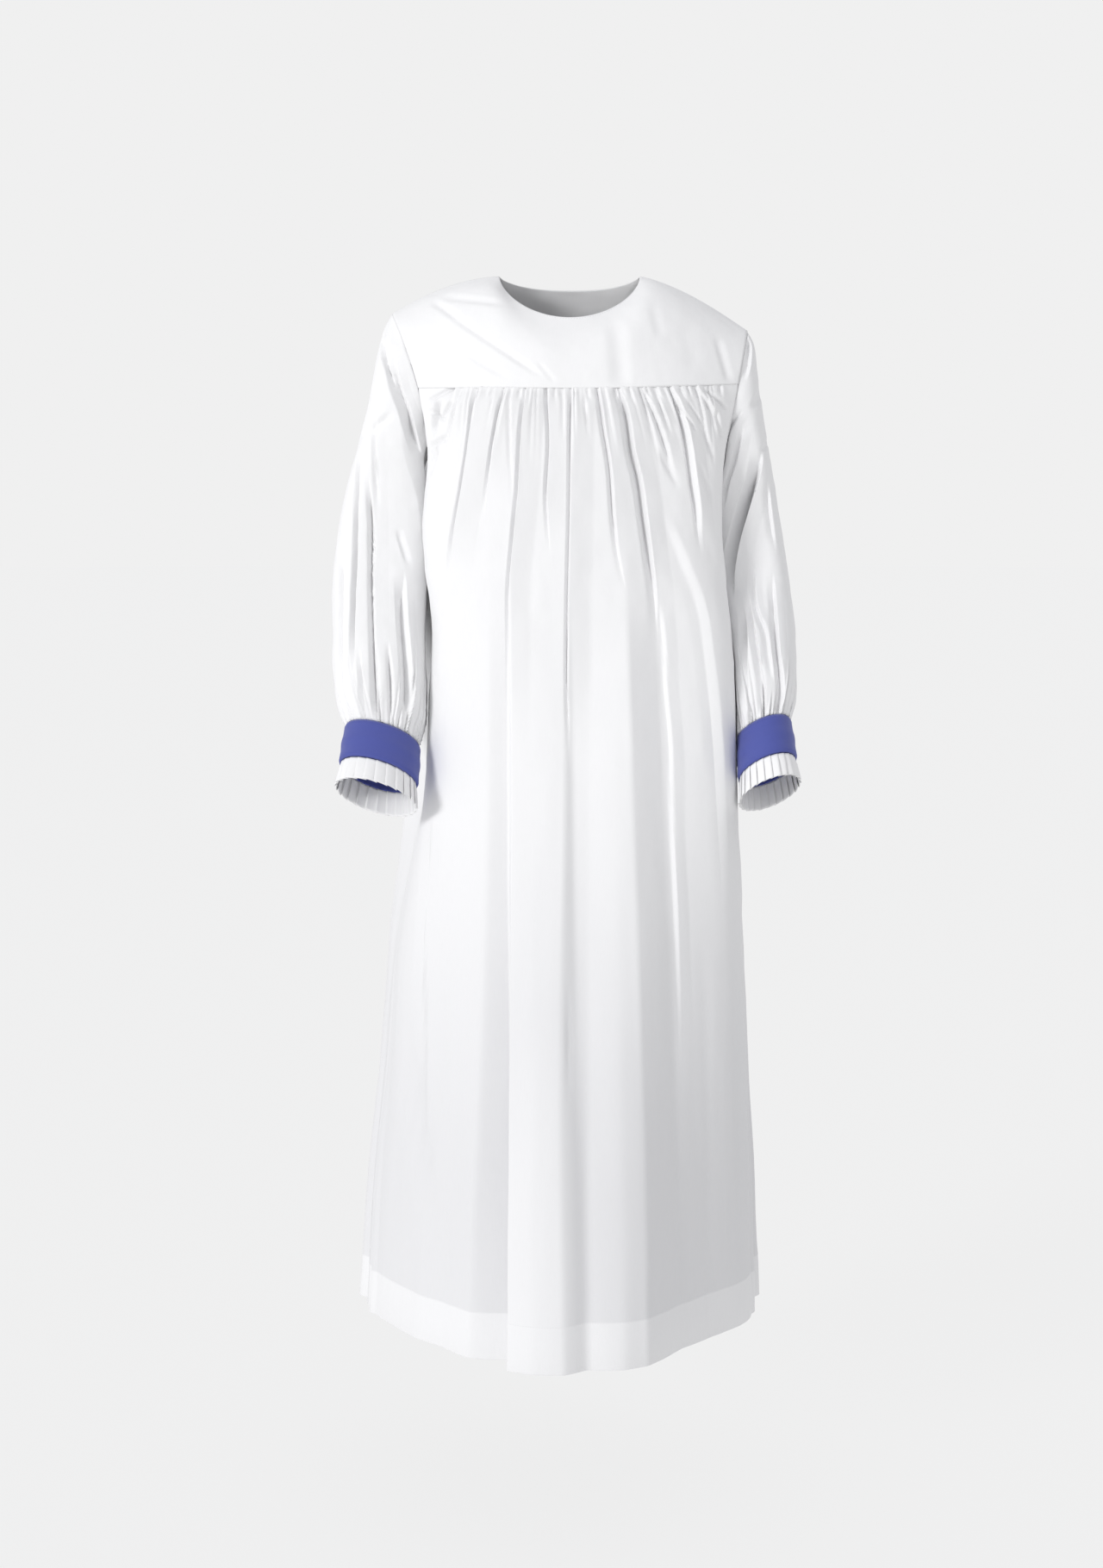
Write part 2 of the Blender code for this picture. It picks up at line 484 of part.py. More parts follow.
def sleeve_ring(rings, arm, share, angle):
    """A point of a sleeve's smooth form, and the middle of its ring. share runs from 0 at
    the armhole to 1 at the wristband."""
    knots = np.linspace(0, 1, len(rings))
    at = {
        name: smooth_curve(share, knots, [getattr(ring, name) for ring in rings])
        for name in Ring._fields
    }
    a = np.radians(angle)
    tip = np.radians(at["tip"])
    reach = np.sin(a) * np.where(np.sin(a) > 0, at["front"], at["back"])
    mid_x = (at["out_x"] + at["in_x"]) / 2
    mid_z = (at["out_z"] + at["in_z"]) / 2
    curve = arm.side * arm.curve * (1 - smooth_step(share / ARMHOLE_CURVE_END))
    x = mid_x + np.cos(a) * (at["out_x"] - at["in_x"]) / 2 - curve * np.sin(a) ** 2
    y = at["mid_y"] - reach * np.cos(tip)
    z = mid_z + np.cos(a) * (at["out_z"] - at["in_z"]) / 2 + reach * np.sin(tip)
    middle = np.stack(np.broadcast_arrays(mid_x, at["mid_y"], mid_z), axis=-1)
    return np.stack([x, y, z], axis=-1), middle


def outward(points, middle):
    """Directions from the middle of each ring to its points."""
    out = points - middle
    return out / np.linalg.norm(out, axis=-1, keepdims=True)


def sleeve(name, rings, arm, material):
    """A full sleeve from the armhole to the gathers at the wristband."""
    angles = 360 * np.arange(SLEEVE_COLUMNS) / SLEEVE_COLUMNS
    angle, share = np.meshgrid(angles, np.linspace(0, 1, SLEEVE_ROWS))
    points, middle = sleeve_ring(rings, arm, share, angle)
    height = np.zeros_like(share)
    for crease in SLEEVE_CREASES:
        place = crease.top + (crease.wrist - crease.top) * share
        off = np.abs((angle - place + 180) % 360 - 180) / crease.width
        shown = smooth_step((share - crease.begin) / CREASE_FADE)
        shown = shown * smooth_step((crease.end - share) / CREASE_FADE)
        height += crease.depth * shown * (1 + np.cos(pi * np.clip(off, 0, 1))) / 2
    count = np.arange(SLEEVE_COLUMNS)
    uneven = 1 - SLEEVE_GATHER_UNEVEN * (1 - np.sin(SLEEVE_GATHER_BEAT * count))
    waves = SLEEVE_GATHER_DEPTH * np.where(count % 2 == 0, 1, -1) * uneven
    grown = (share - SLEEVE_GATHER_START) / (SLEEVE_GATHER_FULL - SLEEVE_GATHER_START)
    held = (share - SLEEVE_GATHER_FULL) / (1 - SLEEVE_GATHER_FULL)
    waves = waves * smooth_step(grown) * (1 - SLEEVE_GATHER_HELD * smooth_step(held))
    height += waves
    out = outward(points, middle)
    outer = points + out * height[..., None]
    outer[0, :, 0] += arm.side * SEAM_GAP
    inner = outer - out * CLOTH
    cloth_body(name, outer, inner, True, material)


def wrist_grid(rings, columns, starts, swells):
    """Rings round the wrist, at distances below the wristband's upper edge."""
    last = rings[-1]
    tip = radians(last.tip)
    a = 2 * pi * np.arange(columns) / columns
    middle = np.array([(last.out_x + last.in_x) / 2, last.mid_y, (last.out_z + last.in_z) / 2])
    across = np.array([(last.out_x - last.in_x) / 2, 0, (last.out_z - last.in_z) / 2])
    forward = last.front * np.array([0, -cos(tip), sin(tip)])
    axis = np.array([np.sign(last.out_x) * WRIST_SPREAD, -sin(tip), -cos(tip)])
    ring = np.cos(a)[:, None] * across + np.sin(a)[:, None] * forward
    out = ring / np.linalg.norm(ring, axis=1, keepdims=True)
    rows = []
    for start, swell in zip(starts, swells):
        rows.append(middle + axis * start + ring + out * np.asarray(swell)[..., None])
    return np.array(rows), out


def cuff(name, rings, material):
    """A wristband: a flat band of double cloth that closes round the sleeve's gathers."""
    starts = (SEAM_GAP, CUFF_HEIGHT / 2, CUFF_HEIGHT)
    swells = (0.0, CUFF_FLARE, CUFF_FLARE)
    outer, out = wrist_grid(rings, CUFF_COLUMNS, starts, swells)
    cloth_body(name, outer, outer - out * CUFF_CLOTH, True, material)


def frill(name, rings, material):
    """A knife-pleated frill that hangs from the wristband's lower edge."""
    columns = FRILL_PLEATS * len(PLEAT_STEPS)
    pleats = PLEAT_DEPTH * (np.tile(PLEAT_STEPS, FRILL_PLEATS) - 0.5)
    starts = []
    swells = []
    for row in FRILL_ROWS:
        starts.append(CUFF_HEIGHT + SEAM_GAP + FRILL_HEIGHT * row.share)
        swells.append(CUFF_FLARE - FRILL_INSET + FRILL_FLARE * row.flare + row.depth * pleats)
    outer, out = wrist_grid(rings, columns, starts, swells)
    cloth_body(name, outer, outer - out * FRILL_CLOTH, True, material)


def cloth_body(name, outer, inner, closed, material):
    """One closed wall between an outer and an inner grid of points. closed says that the
    last column meets the first, as round a tube."""
    rows, columns = outer.shape[:2]
    spans = columns if closed else columns - 1
    work = bmesh.new()
    skins = [[[work.verts.new(p) for p in row] for row in grid] for grid in (outer, inner)]
    for skin in skins:
        for j in range(rows - 1):
            for i in range(spans):
                k = (i + 1) % columns
                work.faces.new((skin[j][i], skin[j][k], skin[j + 1][k]))
                work.faces.new((skin[j][i], skin[j + 1][k], skin[j + 1][i]))
    front, behind = skins
    for j in (0, rows - 1):
        for i in range(spans):
            k = (i + 1) % columns
            work.faces.new((front[j][i], front[j][k], behind[j][k], behind[j][i]))
    if not closed:
        for i in (0, columns - 1):
            for j in range(rows - 1):
                work.faces.new((front[j][i], front[j + 1][i], behind[j + 1][i], behind[j][i]))
    bmesh.ops.recalc_face_normals(work, faces=work.faces)
    mesh = bpy.data.meshes.new(name)
    work.to_mesh(mesh)
    work.free()
    mesh.shade_smooth()
    mesh.set_sharp_from_angle(angle=SMOOTH_ANGLE)
    mesh.materials.append(material)
    bpy.context.collection.objects.link(bpy.data.objects.new(name, mesh))


def cloth_material(name, colour, roughness):
    material = bpy.data.materials.new(name)
    material.use_nodes = True
    shader = material.node_tree.nodes["Principled BSDF"]
    shader.inputs["Base Color"].default_value = colour
    shader.inputs["Roughness"].default_value = roughness
    shader.inputs["Metallic"].default_value = 0.0
    return material


def build():
    for thing in list(bpy.data.objects):
        bpy.data.objects.remove(thing)
    for name, back in (("front_yoke", False), ("back_yoke", True)):
        yoke(name, back, cloth_material(name, WHITE, WHITE_ROUGHNESS))
    for name, back in (("front_panel", False), ("back_panel", True)):
        panel(name, back, cloth_material(name, WHITE, WHITE_ROUGHNESS))
    for side, rings, arm in (("right", RIGHT_SLEEVE, RIGHT_ARM), ("left", LEFT_SLEEVE, LEFT_ARM)):
        sleeve("sleeve_" + side, rings, arm, cloth_material("sleeve_" + side, WHITE, WHITE_ROUGHNESS))
        cuff("cuff_" + side, rings, cloth_material("cuff_" + side, BLUE, BLUE_ROUGHNESS))
        frill("frill_" + side, rings, cloth_material("frill_" + side, WHITE, WHITE_ROUGHNESS))


build()
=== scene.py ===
"""A rochet as it hangs when worn: a long white gown with a plain yoke, a gathered front and
back, full sleeves gathered into blue wristbands, and pleated wrist frills.

Metres, +Z up. The front faces -Y and +X is towards the left sleeve: right and left are the
gown's own. The origin is the middle of the neck opening, level with its two side points.
"""

from collections import namedtuple
from math import cos, pi, radians, sin

import bpy
import numpy as np
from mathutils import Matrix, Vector, noise
from mathutils.bvhtree import BVHTree


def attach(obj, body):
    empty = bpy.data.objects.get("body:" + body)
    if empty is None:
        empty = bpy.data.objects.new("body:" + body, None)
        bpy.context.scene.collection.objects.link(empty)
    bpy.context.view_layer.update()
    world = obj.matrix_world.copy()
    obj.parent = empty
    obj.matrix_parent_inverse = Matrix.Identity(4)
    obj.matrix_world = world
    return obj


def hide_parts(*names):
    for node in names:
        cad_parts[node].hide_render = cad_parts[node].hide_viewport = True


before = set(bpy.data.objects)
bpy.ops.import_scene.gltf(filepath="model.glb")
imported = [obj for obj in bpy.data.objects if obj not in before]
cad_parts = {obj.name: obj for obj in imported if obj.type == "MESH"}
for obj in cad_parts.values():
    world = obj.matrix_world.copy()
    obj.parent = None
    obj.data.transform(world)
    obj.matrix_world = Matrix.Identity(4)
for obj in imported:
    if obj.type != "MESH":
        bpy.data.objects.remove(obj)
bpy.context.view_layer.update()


# The body: one straight width of crisp white cotton in front and one behind, each gathered
# into its yoke seam and cut away at the armholes. They hang open below, with 55 mm of cloth
# turned up and stitched at the hem

CLOTH = 0.0007
SEAM_GAP = 0.0005
HEM_Z = -1.266
HEM_DEPTH = 0.055

# The two armholes and the level sections give the smooth form that the cloth hangs in
Armhole = namedtuple(
    "Armhole", "side top_x top_z low_x low_z front back curve arch front_seam_z back_seam_z"
)
RIGHT_ARM = Armhole(-1, -0.213, -0.044, -0.167, -0.207, 0.067, 0.070, 0.008, 0.0056, -0.136, -0.146)
LEFT_ARM = Armhole(1, 0.213, -0.064, 0.181, -0.235, 0.067, 0.070, 0.002, 0.0030, -0.131, -0.146)

Section = namedtuple(
    "Section", "z front back r_corner r_side r_back l_corner l_side l_back squareness"
)
BODY_SECTIONS = [
    Section(-0.120, -0.129, 0.119, 0.176, 0.186, 0.176, 0.190, 0.204, 0.190, 0.69),
    Section(-0.210, -0.141, 0.129, 0.160, 0.167, 0.170, 0.172, 0.178, 0.184, 0.69),
    Section(-0.300, -0.150, 0.134, 0.164, 0.169, 0.192, 0.170, 0.176, 0.204, 0.69),
    Section(-0.360, -0.156, 0.137, 0.160, 0.170, 0.198, 0.174, 0.182, 0.210, 0.69),
    Section(-0.410, -0.161, 0.140, 0.154, 0.166, 0.197, 0.181, 0.181, 0.210, 0.69),
    Section(-0.500, -0.171, 0.146, 0.159, 0.166, 0.192, 0.186, 0.178, 0.204, 0.68),
    Section(-0.600, -0.182, 0.152, 0.161, 0.173, 0.193, 0.187, 0.182, 0.199, 0.66),
    Section(-0.700, -0.193, 0.160, 0.168, 0.193, 0.200, 0.190, 0.197, 0.199, 0.62),
    Section(-0.800, -0.204, 0.168, 0.176, 0.212, 0.206, 0.189, 0.209, 0.203, 0.58),
    Section(-0.950, -0.222, 0.180, 0.183, 0.226, 0.213, 0.190, 0.217, 0.208, 0.53),
    Section(-1.100, -0.238, 0.192, 0.190, 0.242, 0.222, 0.192, 0.224, 0.214, 0.48),
    Section(-1.270, -0.254, 0.205, 0.196, 0.252, 0.235, 0.196, 0.230, 0.222, 0.43),
]

FRONT_SEAM_Y = -0.131
FRONT_SEAM_Z = -0.139
BACK_SEAM_Y = 0.121
BACK_SEAM_Z = -0.150
SEAM_SHARE = 0.84
SEAM_TURN = 1.12
SPREAD_LENGTH = 0.34
EVEN_START = 0.686
TOP_FIT = 0.16
NORMAL_STEP = 0.05
SEAM_PACE = 1.14
SEAM_CURVE_BACK = 2.6
SEAM_CURVE_DOWN = 2.0


def hermite(t, a, b, slope_a, slope_b):
    """Cubic from a to b with the given slopes, all as arrays."""
    return (
        (2 * t**3 - 3 * t**2 + 1) * a
        + (t**3 - 2 * t**2 + t) * slope_a
        + (3 * t**2 - 2 * t**3) * b
        + (t**3 - t**2) * slope_b
    )


def smooth_curve(at, knots, values):
    """Cubic interpolation through the values at the rising knots."""
    at = np.asarray(at, float)
    knots = np.asarray(knots, float)
    values = np.asarray(values, float)
    slopes = np.gradient(values, knots)
    i = np.clip(np.searchsorted(knots, at) - 1, 0, len(knots) - 2)
    span = knots[i + 1] - knots[i]
    t = np.clip((at - knots[i]) / span, 0, 1)
    return hermite(t, values[i], values[i + 1], span * slopes[i], span * slopes[i + 1])


def smooth_step(t):
    """0 up to t = 0, 1 from t = 1, and a soft rise between."""
    t = np.clip(t, 0, 1)
    return t * t * (3 - 2 * t)


def window(t, fade_in, fade_out):
    """1 along the way from 0 to 1, but for soft fades at its start and its end."""
    return smooth_step(t / fade_in) * smooth_step((1 - t) / fade_out)


def between(a, b, share):
    """A value a share of the way from a to b."""
    return a + (b - a) * share


def measures_at(place, knots, rows):
    """Every measure of the rows, at places between them."""
    return {
        name: smooth_curve(place, knots, [getattr(row, name) for row in rows])
        for name in rows[0]._fields
    }


def body_ring(turn, z):
    """(x, y) on the body's smooth form. turn is 0 at the centre front, 2 at the left side
    seam, 4 at the centre back and 6 at the right side seam."""
    turn, z = np.broadcast_arrays(np.asarray(turn, float), np.asarray(z, float))
    at = measures_at(-z, [-section.z for section in BODY_SECTIONS], BODY_SECTIONS)
    nothing = np.zeros_like(z)
    xs = [nothing, at["l_corner"], at["l_side"], at["l_back"]]
    xs += [nothing, -at["r_back"], -at["r_side"], -at["r_corner"]]
    near = at["squareness"] * at["front"]
    far = (1 + at["squareness"]) / 2 * at["back"]
    ys = [at["front"], near, nothing, far, at["back"], far, nothing, near]
    count = len(xs)
    ring = np.eye(count)
    spline = np.linalg.inv(4 * ring + np.roll(ring, 1, axis=0) + np.roll(ring, -1, axis=0))
    i = np.floor(turn).astype(int) % count
    t = turn - np.floor(turn)
    found = []
    for corners in (np.stack(xs, axis=-1), np.stack(ys, axis=-1)):
        change = 3 * (np.roll(corners, -1, axis=-1) - np.roll(corners, 1, axis=-1))
        slopes = change @ spline.T
        a, slope_a = (np.take_along_axis(v, i[..., None], -1)[..., 0] for v in (corners, slopes))
        j = (i[..., None] + 1) % count
        b, slope_b = (np.take_along_axis(v, j, -1)[..., 0] for v in (corners, slopes))
        found.append(hermite(t, a, b, slope_a, slope_b))
    return found


def armhole_point(arm, angle):
    """A point of an armhole's loop. angle is 0 on the shoulder, 90 in front, 180 in the
    armpit and 270 behind."""
    a = np.radians(angle)
    height = (1 + np.cos(a)) / 2
    x = between(arm.low_x, arm.top_x, height) - arm.side * arm.curve * np.sin(a) ** 2
    y = -np.sin(a) * np.where(np.sin(a) > 0, arm.front, arm.back)
    z = between(arm.low_z, arm.top_z, height)
    return np.stack([x, y, z], axis=-1)


def seam_angle(arm, back):
    """Where a yoke seam meets the armhole's loop."""
    z = arm.back_seam_z if back else arm.front_seam_z
    angle = np.degrees(np.arccos(2 * (z - arm.low_z) / (arm.top_z - arm.low_z) - 1))
    return 360 - angle if back else angle


def yoke_seam(share, back):
    """A point of a yoke seam. share runs from -1 at the right armhole to 1 at the left."""
    share = np.asarray(share, float)
    right, left = (armhole_point(arm, seam_angle(arm, back)) for arm in (RIGHT_ARM, LEFT_ARM))
    end = np.where(share[..., None] < 0, right, left)
    across = SEAM_PACE * np.abs(share) + (1 - SEAM_PACE) * np.abs(share) ** 3
    mid_y = BACK_SEAM_Y if back else FRONT_SEAM_Y
    mid_z = BACK_SEAM_Z if back else FRONT_SEAM_Z
    x = end[..., 0] * across
    y = between(mid_y, end[..., 1], across**SEAM_CURVE_BACK)
    z = between(mid_z, end[..., 2], across**SEAM_CURVE_DOWN)
    return np.stack([x, y, z], axis=-1)


def panel_top(u, back):
    """A point of a panel's top edge: up one armhole, along the yoke seam, down the other."""
    u = np.asarray(u, float)
    edge = yoke_seam(np.clip(u / SEAM_SHARE, -1, 1), back)
    down = np.clip((np.abs(u) - SEAM_SHARE) / (1 - SEAM_SHARE), 0, 1)
    for arm in (RIGHT_ARM, LEFT_ARM):
        start = seam_angle(arm, back)
        loop = armhole_point(arm, start + (180 - start) * down)
        edge = np.where(((np.sign(u) == arm.side) & (down > 0))[..., None], loop, edge)
    return edge


def panel_base(u, share, back):
    """The smooth form of a panel and its level outward direction. share runs from 0 at the
    panel's top edge to 1 at the hem."""
    top = panel_top(u, back)
    top_z = top[..., 2] - SEAM_GAP
    z = between(top_z, HEM_Z, share)
    seam_part = np.clip(np.abs(u) / SEAM_SHARE, 0, 1)
    arm_part = np.clip((np.abs(u) - SEAM_SHARE) / (1 - SEAM_SHARE), 0, 1)
    gathered = np.sign(u) * (SEAM_TURN * seam_part + (2 - SEAM_TURN) * arm_part)
    even = 2 * (EVEN_START * u + (1 - EVEN_START) * u**3)
    turn = between(gathered, even, smooth_step((top_z - z) / SPREAD_LENGTH))
    if back:
        turn = 4 - turn
        gathered = 4 - gathered
    x, y = body_ring(turn, z)
    top_x, top_y = body_ring(gathered, top_z)
    fit = np.clip(1 - (top_z - z) / TOP_FIT, 0, 1) ** 2
    x = x + (top[..., 0] - top_x) * fit
    y = y + (top[..., 1] - top_y) * fit
    ahead = body_ring(turn + NORMAL_STEP, z)
    behind = body_ring(turn - NORMAL_STEP, z)
    along_x = ahead[0] - behind[0]
    along_y = ahead[1] - behind[1]
    out = np.stack([along_y, -along_x, np.zeros_like(x)], axis=-1)
    return np.stack([x, y, z], axis=-1), out / np.hypot(along_x, along_y)[..., None]


def metres(table):
    """A table of lengths in metres, from one that is written in millimetres."""
    if isinstance(table, (int, float)):
        return table / 1000
    parts = [metres(part) for part in table]
    return type(table)(*parts) if hasattr(table, "_fields") else parts


# A crease as pressed and worn cloth has it: a line down the cloth, a narrow dip before it, a
# steep rise over the edge width, and a flat slope that eases off after it. Its points are (x, z)
# from the top down. It eases out over the end length, and in over the start length
Crease = namedtuple("Crease", "points dip before rise after edge end start", defaults=[0])
FRONT_CREASES = metres([
    Crease(((-126, -137), (-134, -170), (-146, -214)), 5, 4, 3, 14, 1.2, 50),
    Crease(
        ((-108.5, -139), (-113.4, -179), (-124, -250), (-137, -320), (-143, -370)),
        9.5, 5, 7, 26, 1.4, 100,
    ),
    Crease(((-76, -135), (-85, -179), (-96, -250), (-100, -285)), 6, 3.5, 5, 20, 1.3, 80),
    Crease(((-69, -137), (-69, -205), (-65, -280)), 3, 4, 2, 12, 2, 70),
    Crease(
        ((-51.3, -139), (-56.2, -184), (-60, -250), (-67, -320), (-71.2, -370), (-71.4, -430),
         (-70.5, -600)),
        7, 4.6, 7, 24, 1.2, 240,
    ),
    Crease(((-38.5, -139), (-38.5, -165)), 3, 3, 2, 10, 1.2, 20),
    Crease(((-27.6, -139), (-24.7, -205), (-27.6, -259), (-23.7, -330)), 6, 4, 3, 20, 1.4, 90),
    Crease(
        ((1, -139), (0, -205), (-1, -293), (-2.5, -360), (-3.5, -426), (-3.5, -480), (-1, -560)),
        6, 4.2, 6, 26, 1.1, 120,
    ),
    Crease(((14.8, -139), (21.7, -200)), 4, 3, 2, 12, 1.4, 40),
    Crease(
        ((32.5, -139), (36.5, -175), (45.4, -232), (50.3, -293), (56.2, -338), (64, -375)),
        7.5, 5.6, 6, 22, 1.8, 110,
    ),
    Crease(
        ((56.2, -139), (65.1, -170), (72, -214), (78.9, -241), (86.8, -293), (93.7, -338), (98.6, -374),
         (101.6, -430)),
        14, 10, 6, 20, 2.4, 140,
    ),
    Crease(((82.8, -139), (96.6, -170), (109.4, -205), (120.3, -245)), 6, 5, 4, 14, 3, 50),
    Crease(((96.6, -139), (109.4, -175), (116.3, -195)), 4, 4, 3, 10, 2.5, 30),
    Crease(
        ((115, -135), (120.3, -148), (133.1, -196), (140, -241), (146.9, -286), (151, -330)),
        7, 5, 6, 16, 4, 80,
    ),
    Crease(((144, -135), (161.7, -162), (169, -200)), 4, 6, 4, 10, 4, 40),
    Crease(
        ((105, -278), (111, -298), (127.2, -338), (145, -382.5), (160, -470.7), (170, -578.6),
         (176, -677.6), (182, -776.6)),
        1, 12, 4.2, 30, 9.5, 300, 50,
    ),
    Crease(
        ((102.5, -382.5), (110, -444), (110, -470), (116.3, -537), (120.3, -677.6), (126.2, -780.6),
         (130, -861.7), (130.2, -927)),
        1, 6, 3, 14, 3.5, 200, 40,
    ),
    Crease(
        ((-165, -640), (-170, -740), (-174, -800), (-170, -882), (-166, -1020)),
        3, 12, 3, 24, 4, 140, 80,
    ),
])
BACK_CREASES = metres([
    Crease(((-128, -140), (-140, -220), (-150, -330), (-154, -420)), 7, 4, 5, 20, 1.5, 90),
    Crease(((-104, -140), (-112, -200), (-116, -250)), 4, 3.5, 3, 14, 1.5, 50),
    Crease(((-82, -140), (-92, -220), (-102, -340)), 6, 4, 4, 20, 1.5, 80),
    Crease(((-50, -140), (-56, -300), (-61, -550), (-66, -800)), 7, 4, 5, 24, 1.5, 200),
    Crease(((-30, -140), (-33, -210)), 4, 3, 2, 12, 1.5, 30),
    Crease(((-14, -140), (-17, -240), (-20, -330)), 5, 3.5, 3, 16, 1.5, 70),
    Crease(((18, -140), (17, -300), (12, -550), (8, -850)), 8, 4, 5, 24, 1.4, 250),
    Crease(((38, -140), (43, -220), (45, -280)), 5, 3.5, 3, 14, 1.5, 50),
    Crease(((60, -140), (66, -240), (70, -380)), 6, 4, 4, 18, 1.5, 90),
    Crease(((86, -140), (94, -280), (98, -500), (96, -720)), 8, 4.5, 5, 22, 1.5, 180),
    Crease(((108, -140), (118, -200), (122, -260)), 4, 3.5, 3, 12, 1.5, 50),
    Crease(((132, -140), (146, -240), (152, -380)), 7, 4, 4, 18, 1.5, 90),
])

# How the cloth's threads fan out below the seam: each row is one line's places in x at the
# levels, from the right side to the left. The grid's columns follow them
FLOW_LEVELS = metres((-139, -200, -270, -360, -600, -850, -1050, -1270))
FRONT_FLOW = metres([
    (-108.5, -116.5, -127.5, -141.5, -155, -170, -182, -192),
    (-76, -88.5, -98, -108, -118, -126, -132, -137),
    (-51.3, -57.2, -62, -70.8, -70, -69.5, -68.5, -67.5),
    (-27.6, -24.8, -27.5, -25, -30, -34, -35, -34),
    (1, 0, -0.8, -3, -7, -10, -10, -6),
    (32.5, 40.5, 48.7, 60.8, 70, 76.5, 81, 83.5),
    (56.2, 69.7, 83.8, 96.7, 118, 129, 132, 136),
    (115, 134, 144.7, 153.5, 171, 184, 190, 200),
])
BACK_FLOW = metres([
    (-128, -138, -145, -152, -165, -176, -184, -192),
    (-82, -90, -96, -103, -112, -120, -128, -134),
    (-50, -52, -55, -57.5, -62, -67, -71, -75),
    (-14, -16, -18, -20, -24, -28, -34, -40),
    (18, 17.7, 17.2, 16, 11.3, 8, 6, 5),
    (60, 64, 67, 69.5, 73, 74, 74, 74),
    (86, 90, 93.5, 96, 97.3, 95.5, 94.5, 93),
    (132, 143, 149, 151.5, 158, 166, 174, 180),
])


def pressed_fold(off, dip, before, rise, after, edge):
    """Height across a crease, at distances from its line."""
    lower = -dip * np.clip(1 + off / before, 0, 1)
    steep = -dip + (dip + rise) * off / edge
    slope = rise * np.clip(1 - (off - edge) / after, 0, 1)
    return np.where(off < 0, lower, np.where(off < edge, steep, slope))


def crease_line(crease, x, z):
    """The distance of places from a crease's line, and how strongly it shows at a height."""
    knots = [-point[1] for point in crease.points]
    off = x - smooth_curve(-z, knots, [point[0] for point in crease.points])
    shown = smooth_step((z - crease.points[-1][1]) / crease.end)
    if crease.start:
        shown = shown * smooth_step((crease.points[0][1] - z) / crease.start)
    return off, shown


def crease_height(creases, x, z):
    """How far the creases move the cloth out at a place across it and a height."""
    total = np.zeros_like(x)
    for crease in creases:
        off, shown = crease_line(crease, x, z)
        _, dip, before, rise, after, edge, *_ = crease
        total += shown * pressed_fold(off, dip, before, rise, after, edge)
    return total


def crowded(near, count):
    """Shares of the way along a row of places, closer together where near is high."""
    share = np.cumsum(1 + CROWDING * near, axis=-1)
    share = (share - share[..., :1]) / (share[..., -1:] - share[..., :1])
    even = np.linspace(0, 1, count)
    places = np.linspace(0, 1, near.shape[-1])
    return np.array([np.interp(even, row, places) for row in share.reshape(-1, near.shape[-1])])


# The broad folds that the skirt falls into, from the right side to the left: each row is the
# line of one corner, as its places in x and its heights at the five levels. The cloth is
# nearly flat between corners. In front, the sixth and seventh rows are the foot and the lip of
# the lapped pleat
SKIRT_LEVELS = metres((-360, -600, -850, -1050, -1270))
SKIRT_START = -0.28
SKIRT_GROWTH = 0.20
CORNER_ROUNDING = 0.003
CORNER_STEPS = 5
Corner = namedtuple("Corner", "x height")
FRONT_SKIRT = metres([
    Corner((-150, -165, -187, -207, -226), (0, 0, 0, 0, 0)),
    Corner((-136, -146, -158, -168, -178), (0, 2, 3, 5, 7)),
    Corner((-118, -125, -132, -142, -150), (0, 1, 2, 2, 3)),
    Corner((-92, -94, -99, -106, -114), (1, 2, 6, 10, 10)),
    Corner((-82, -83, -84, -85, -88), (-1, -3, -4, -6, -8)),
    Corner((-72.5, -71.5, -71.2, -70.2, -69.2), (-4, -9, -13, -16, -19)),
    Corner((-70, -69, -68.8, -67.8, -66.7), (3, 6, 11, 16, 20)),
    Corner((-40, -40, -40, -40, -38), (3, 6, 12, 17, 20)),
    Corner((-7, -6, -10, -10, -6), (1, 5, 11, 14, 16)),
    Corner((-1, 3, 7, 11, 14), (0, -2, -1, 1, 2)),
    Corner((20, 21, 20, 20, 21), (0, -1, -2, -2, -2)),
    Corner((52, 52, 54, 56, 58), (5, 7, 9, 11, 12)),
    Corner((64, 70, 76.5, 81, 83.5), (8, 10, 12, 13, 14)),
    Corner((100, 112, 122, 130, 136), (-10, -9, -7, -7, -7)),
    Corner((150, 156, 162, 170, 176), (-2, -3, -5, -7, -9)),
    Corner((170, 180, 190, 200, 215), (0, 0, 0, 0, 0)),
])
BACK_SKIRT = metres([
    Corner((-160, -175, -190, -205, -220), (0, 0, 0, 0, 0)),
    Corner((-150, -158, -168, -176, -184), (-1, -3, -6, -8, -10)),
    Corner((-118, -120, -124, -128, -132), (2, 5, 8, 10, 12)),
    Corner((-66, -68, -72, -76, -80), (-4, -8, -11, -13, -15)),
    Corner((-52, -54, -58, -61, -64), (1, 4, 7, 9, 11)),
    Corner((-20, -22, -28, -34, -40), (3, 6, 9, 11, 13)),
    Corner((13, 10, 7, 5, 4), (-4, -9, -12, -14, -17)),
    Corner((22, 22, 22, 23, 24), (1, 4, 6, 8, 10)),
    Corner((52, 52, 52, 52, 52), (3, 6, 9, 11, 13)),
    Corner((98, 96, 95, 94, 92), (-4, -8, -11, -13, -15)),
    Corner((134, 136, 138, 140, 142), (2, 5, 8, 10, 12)),
    Corner((160, 165, 170, 176, 182), (-1, -3, -6, -8, -10)),
    Corner((174, 184, 195, 206, 216), (0, 0, 0, 0, 0)),
])


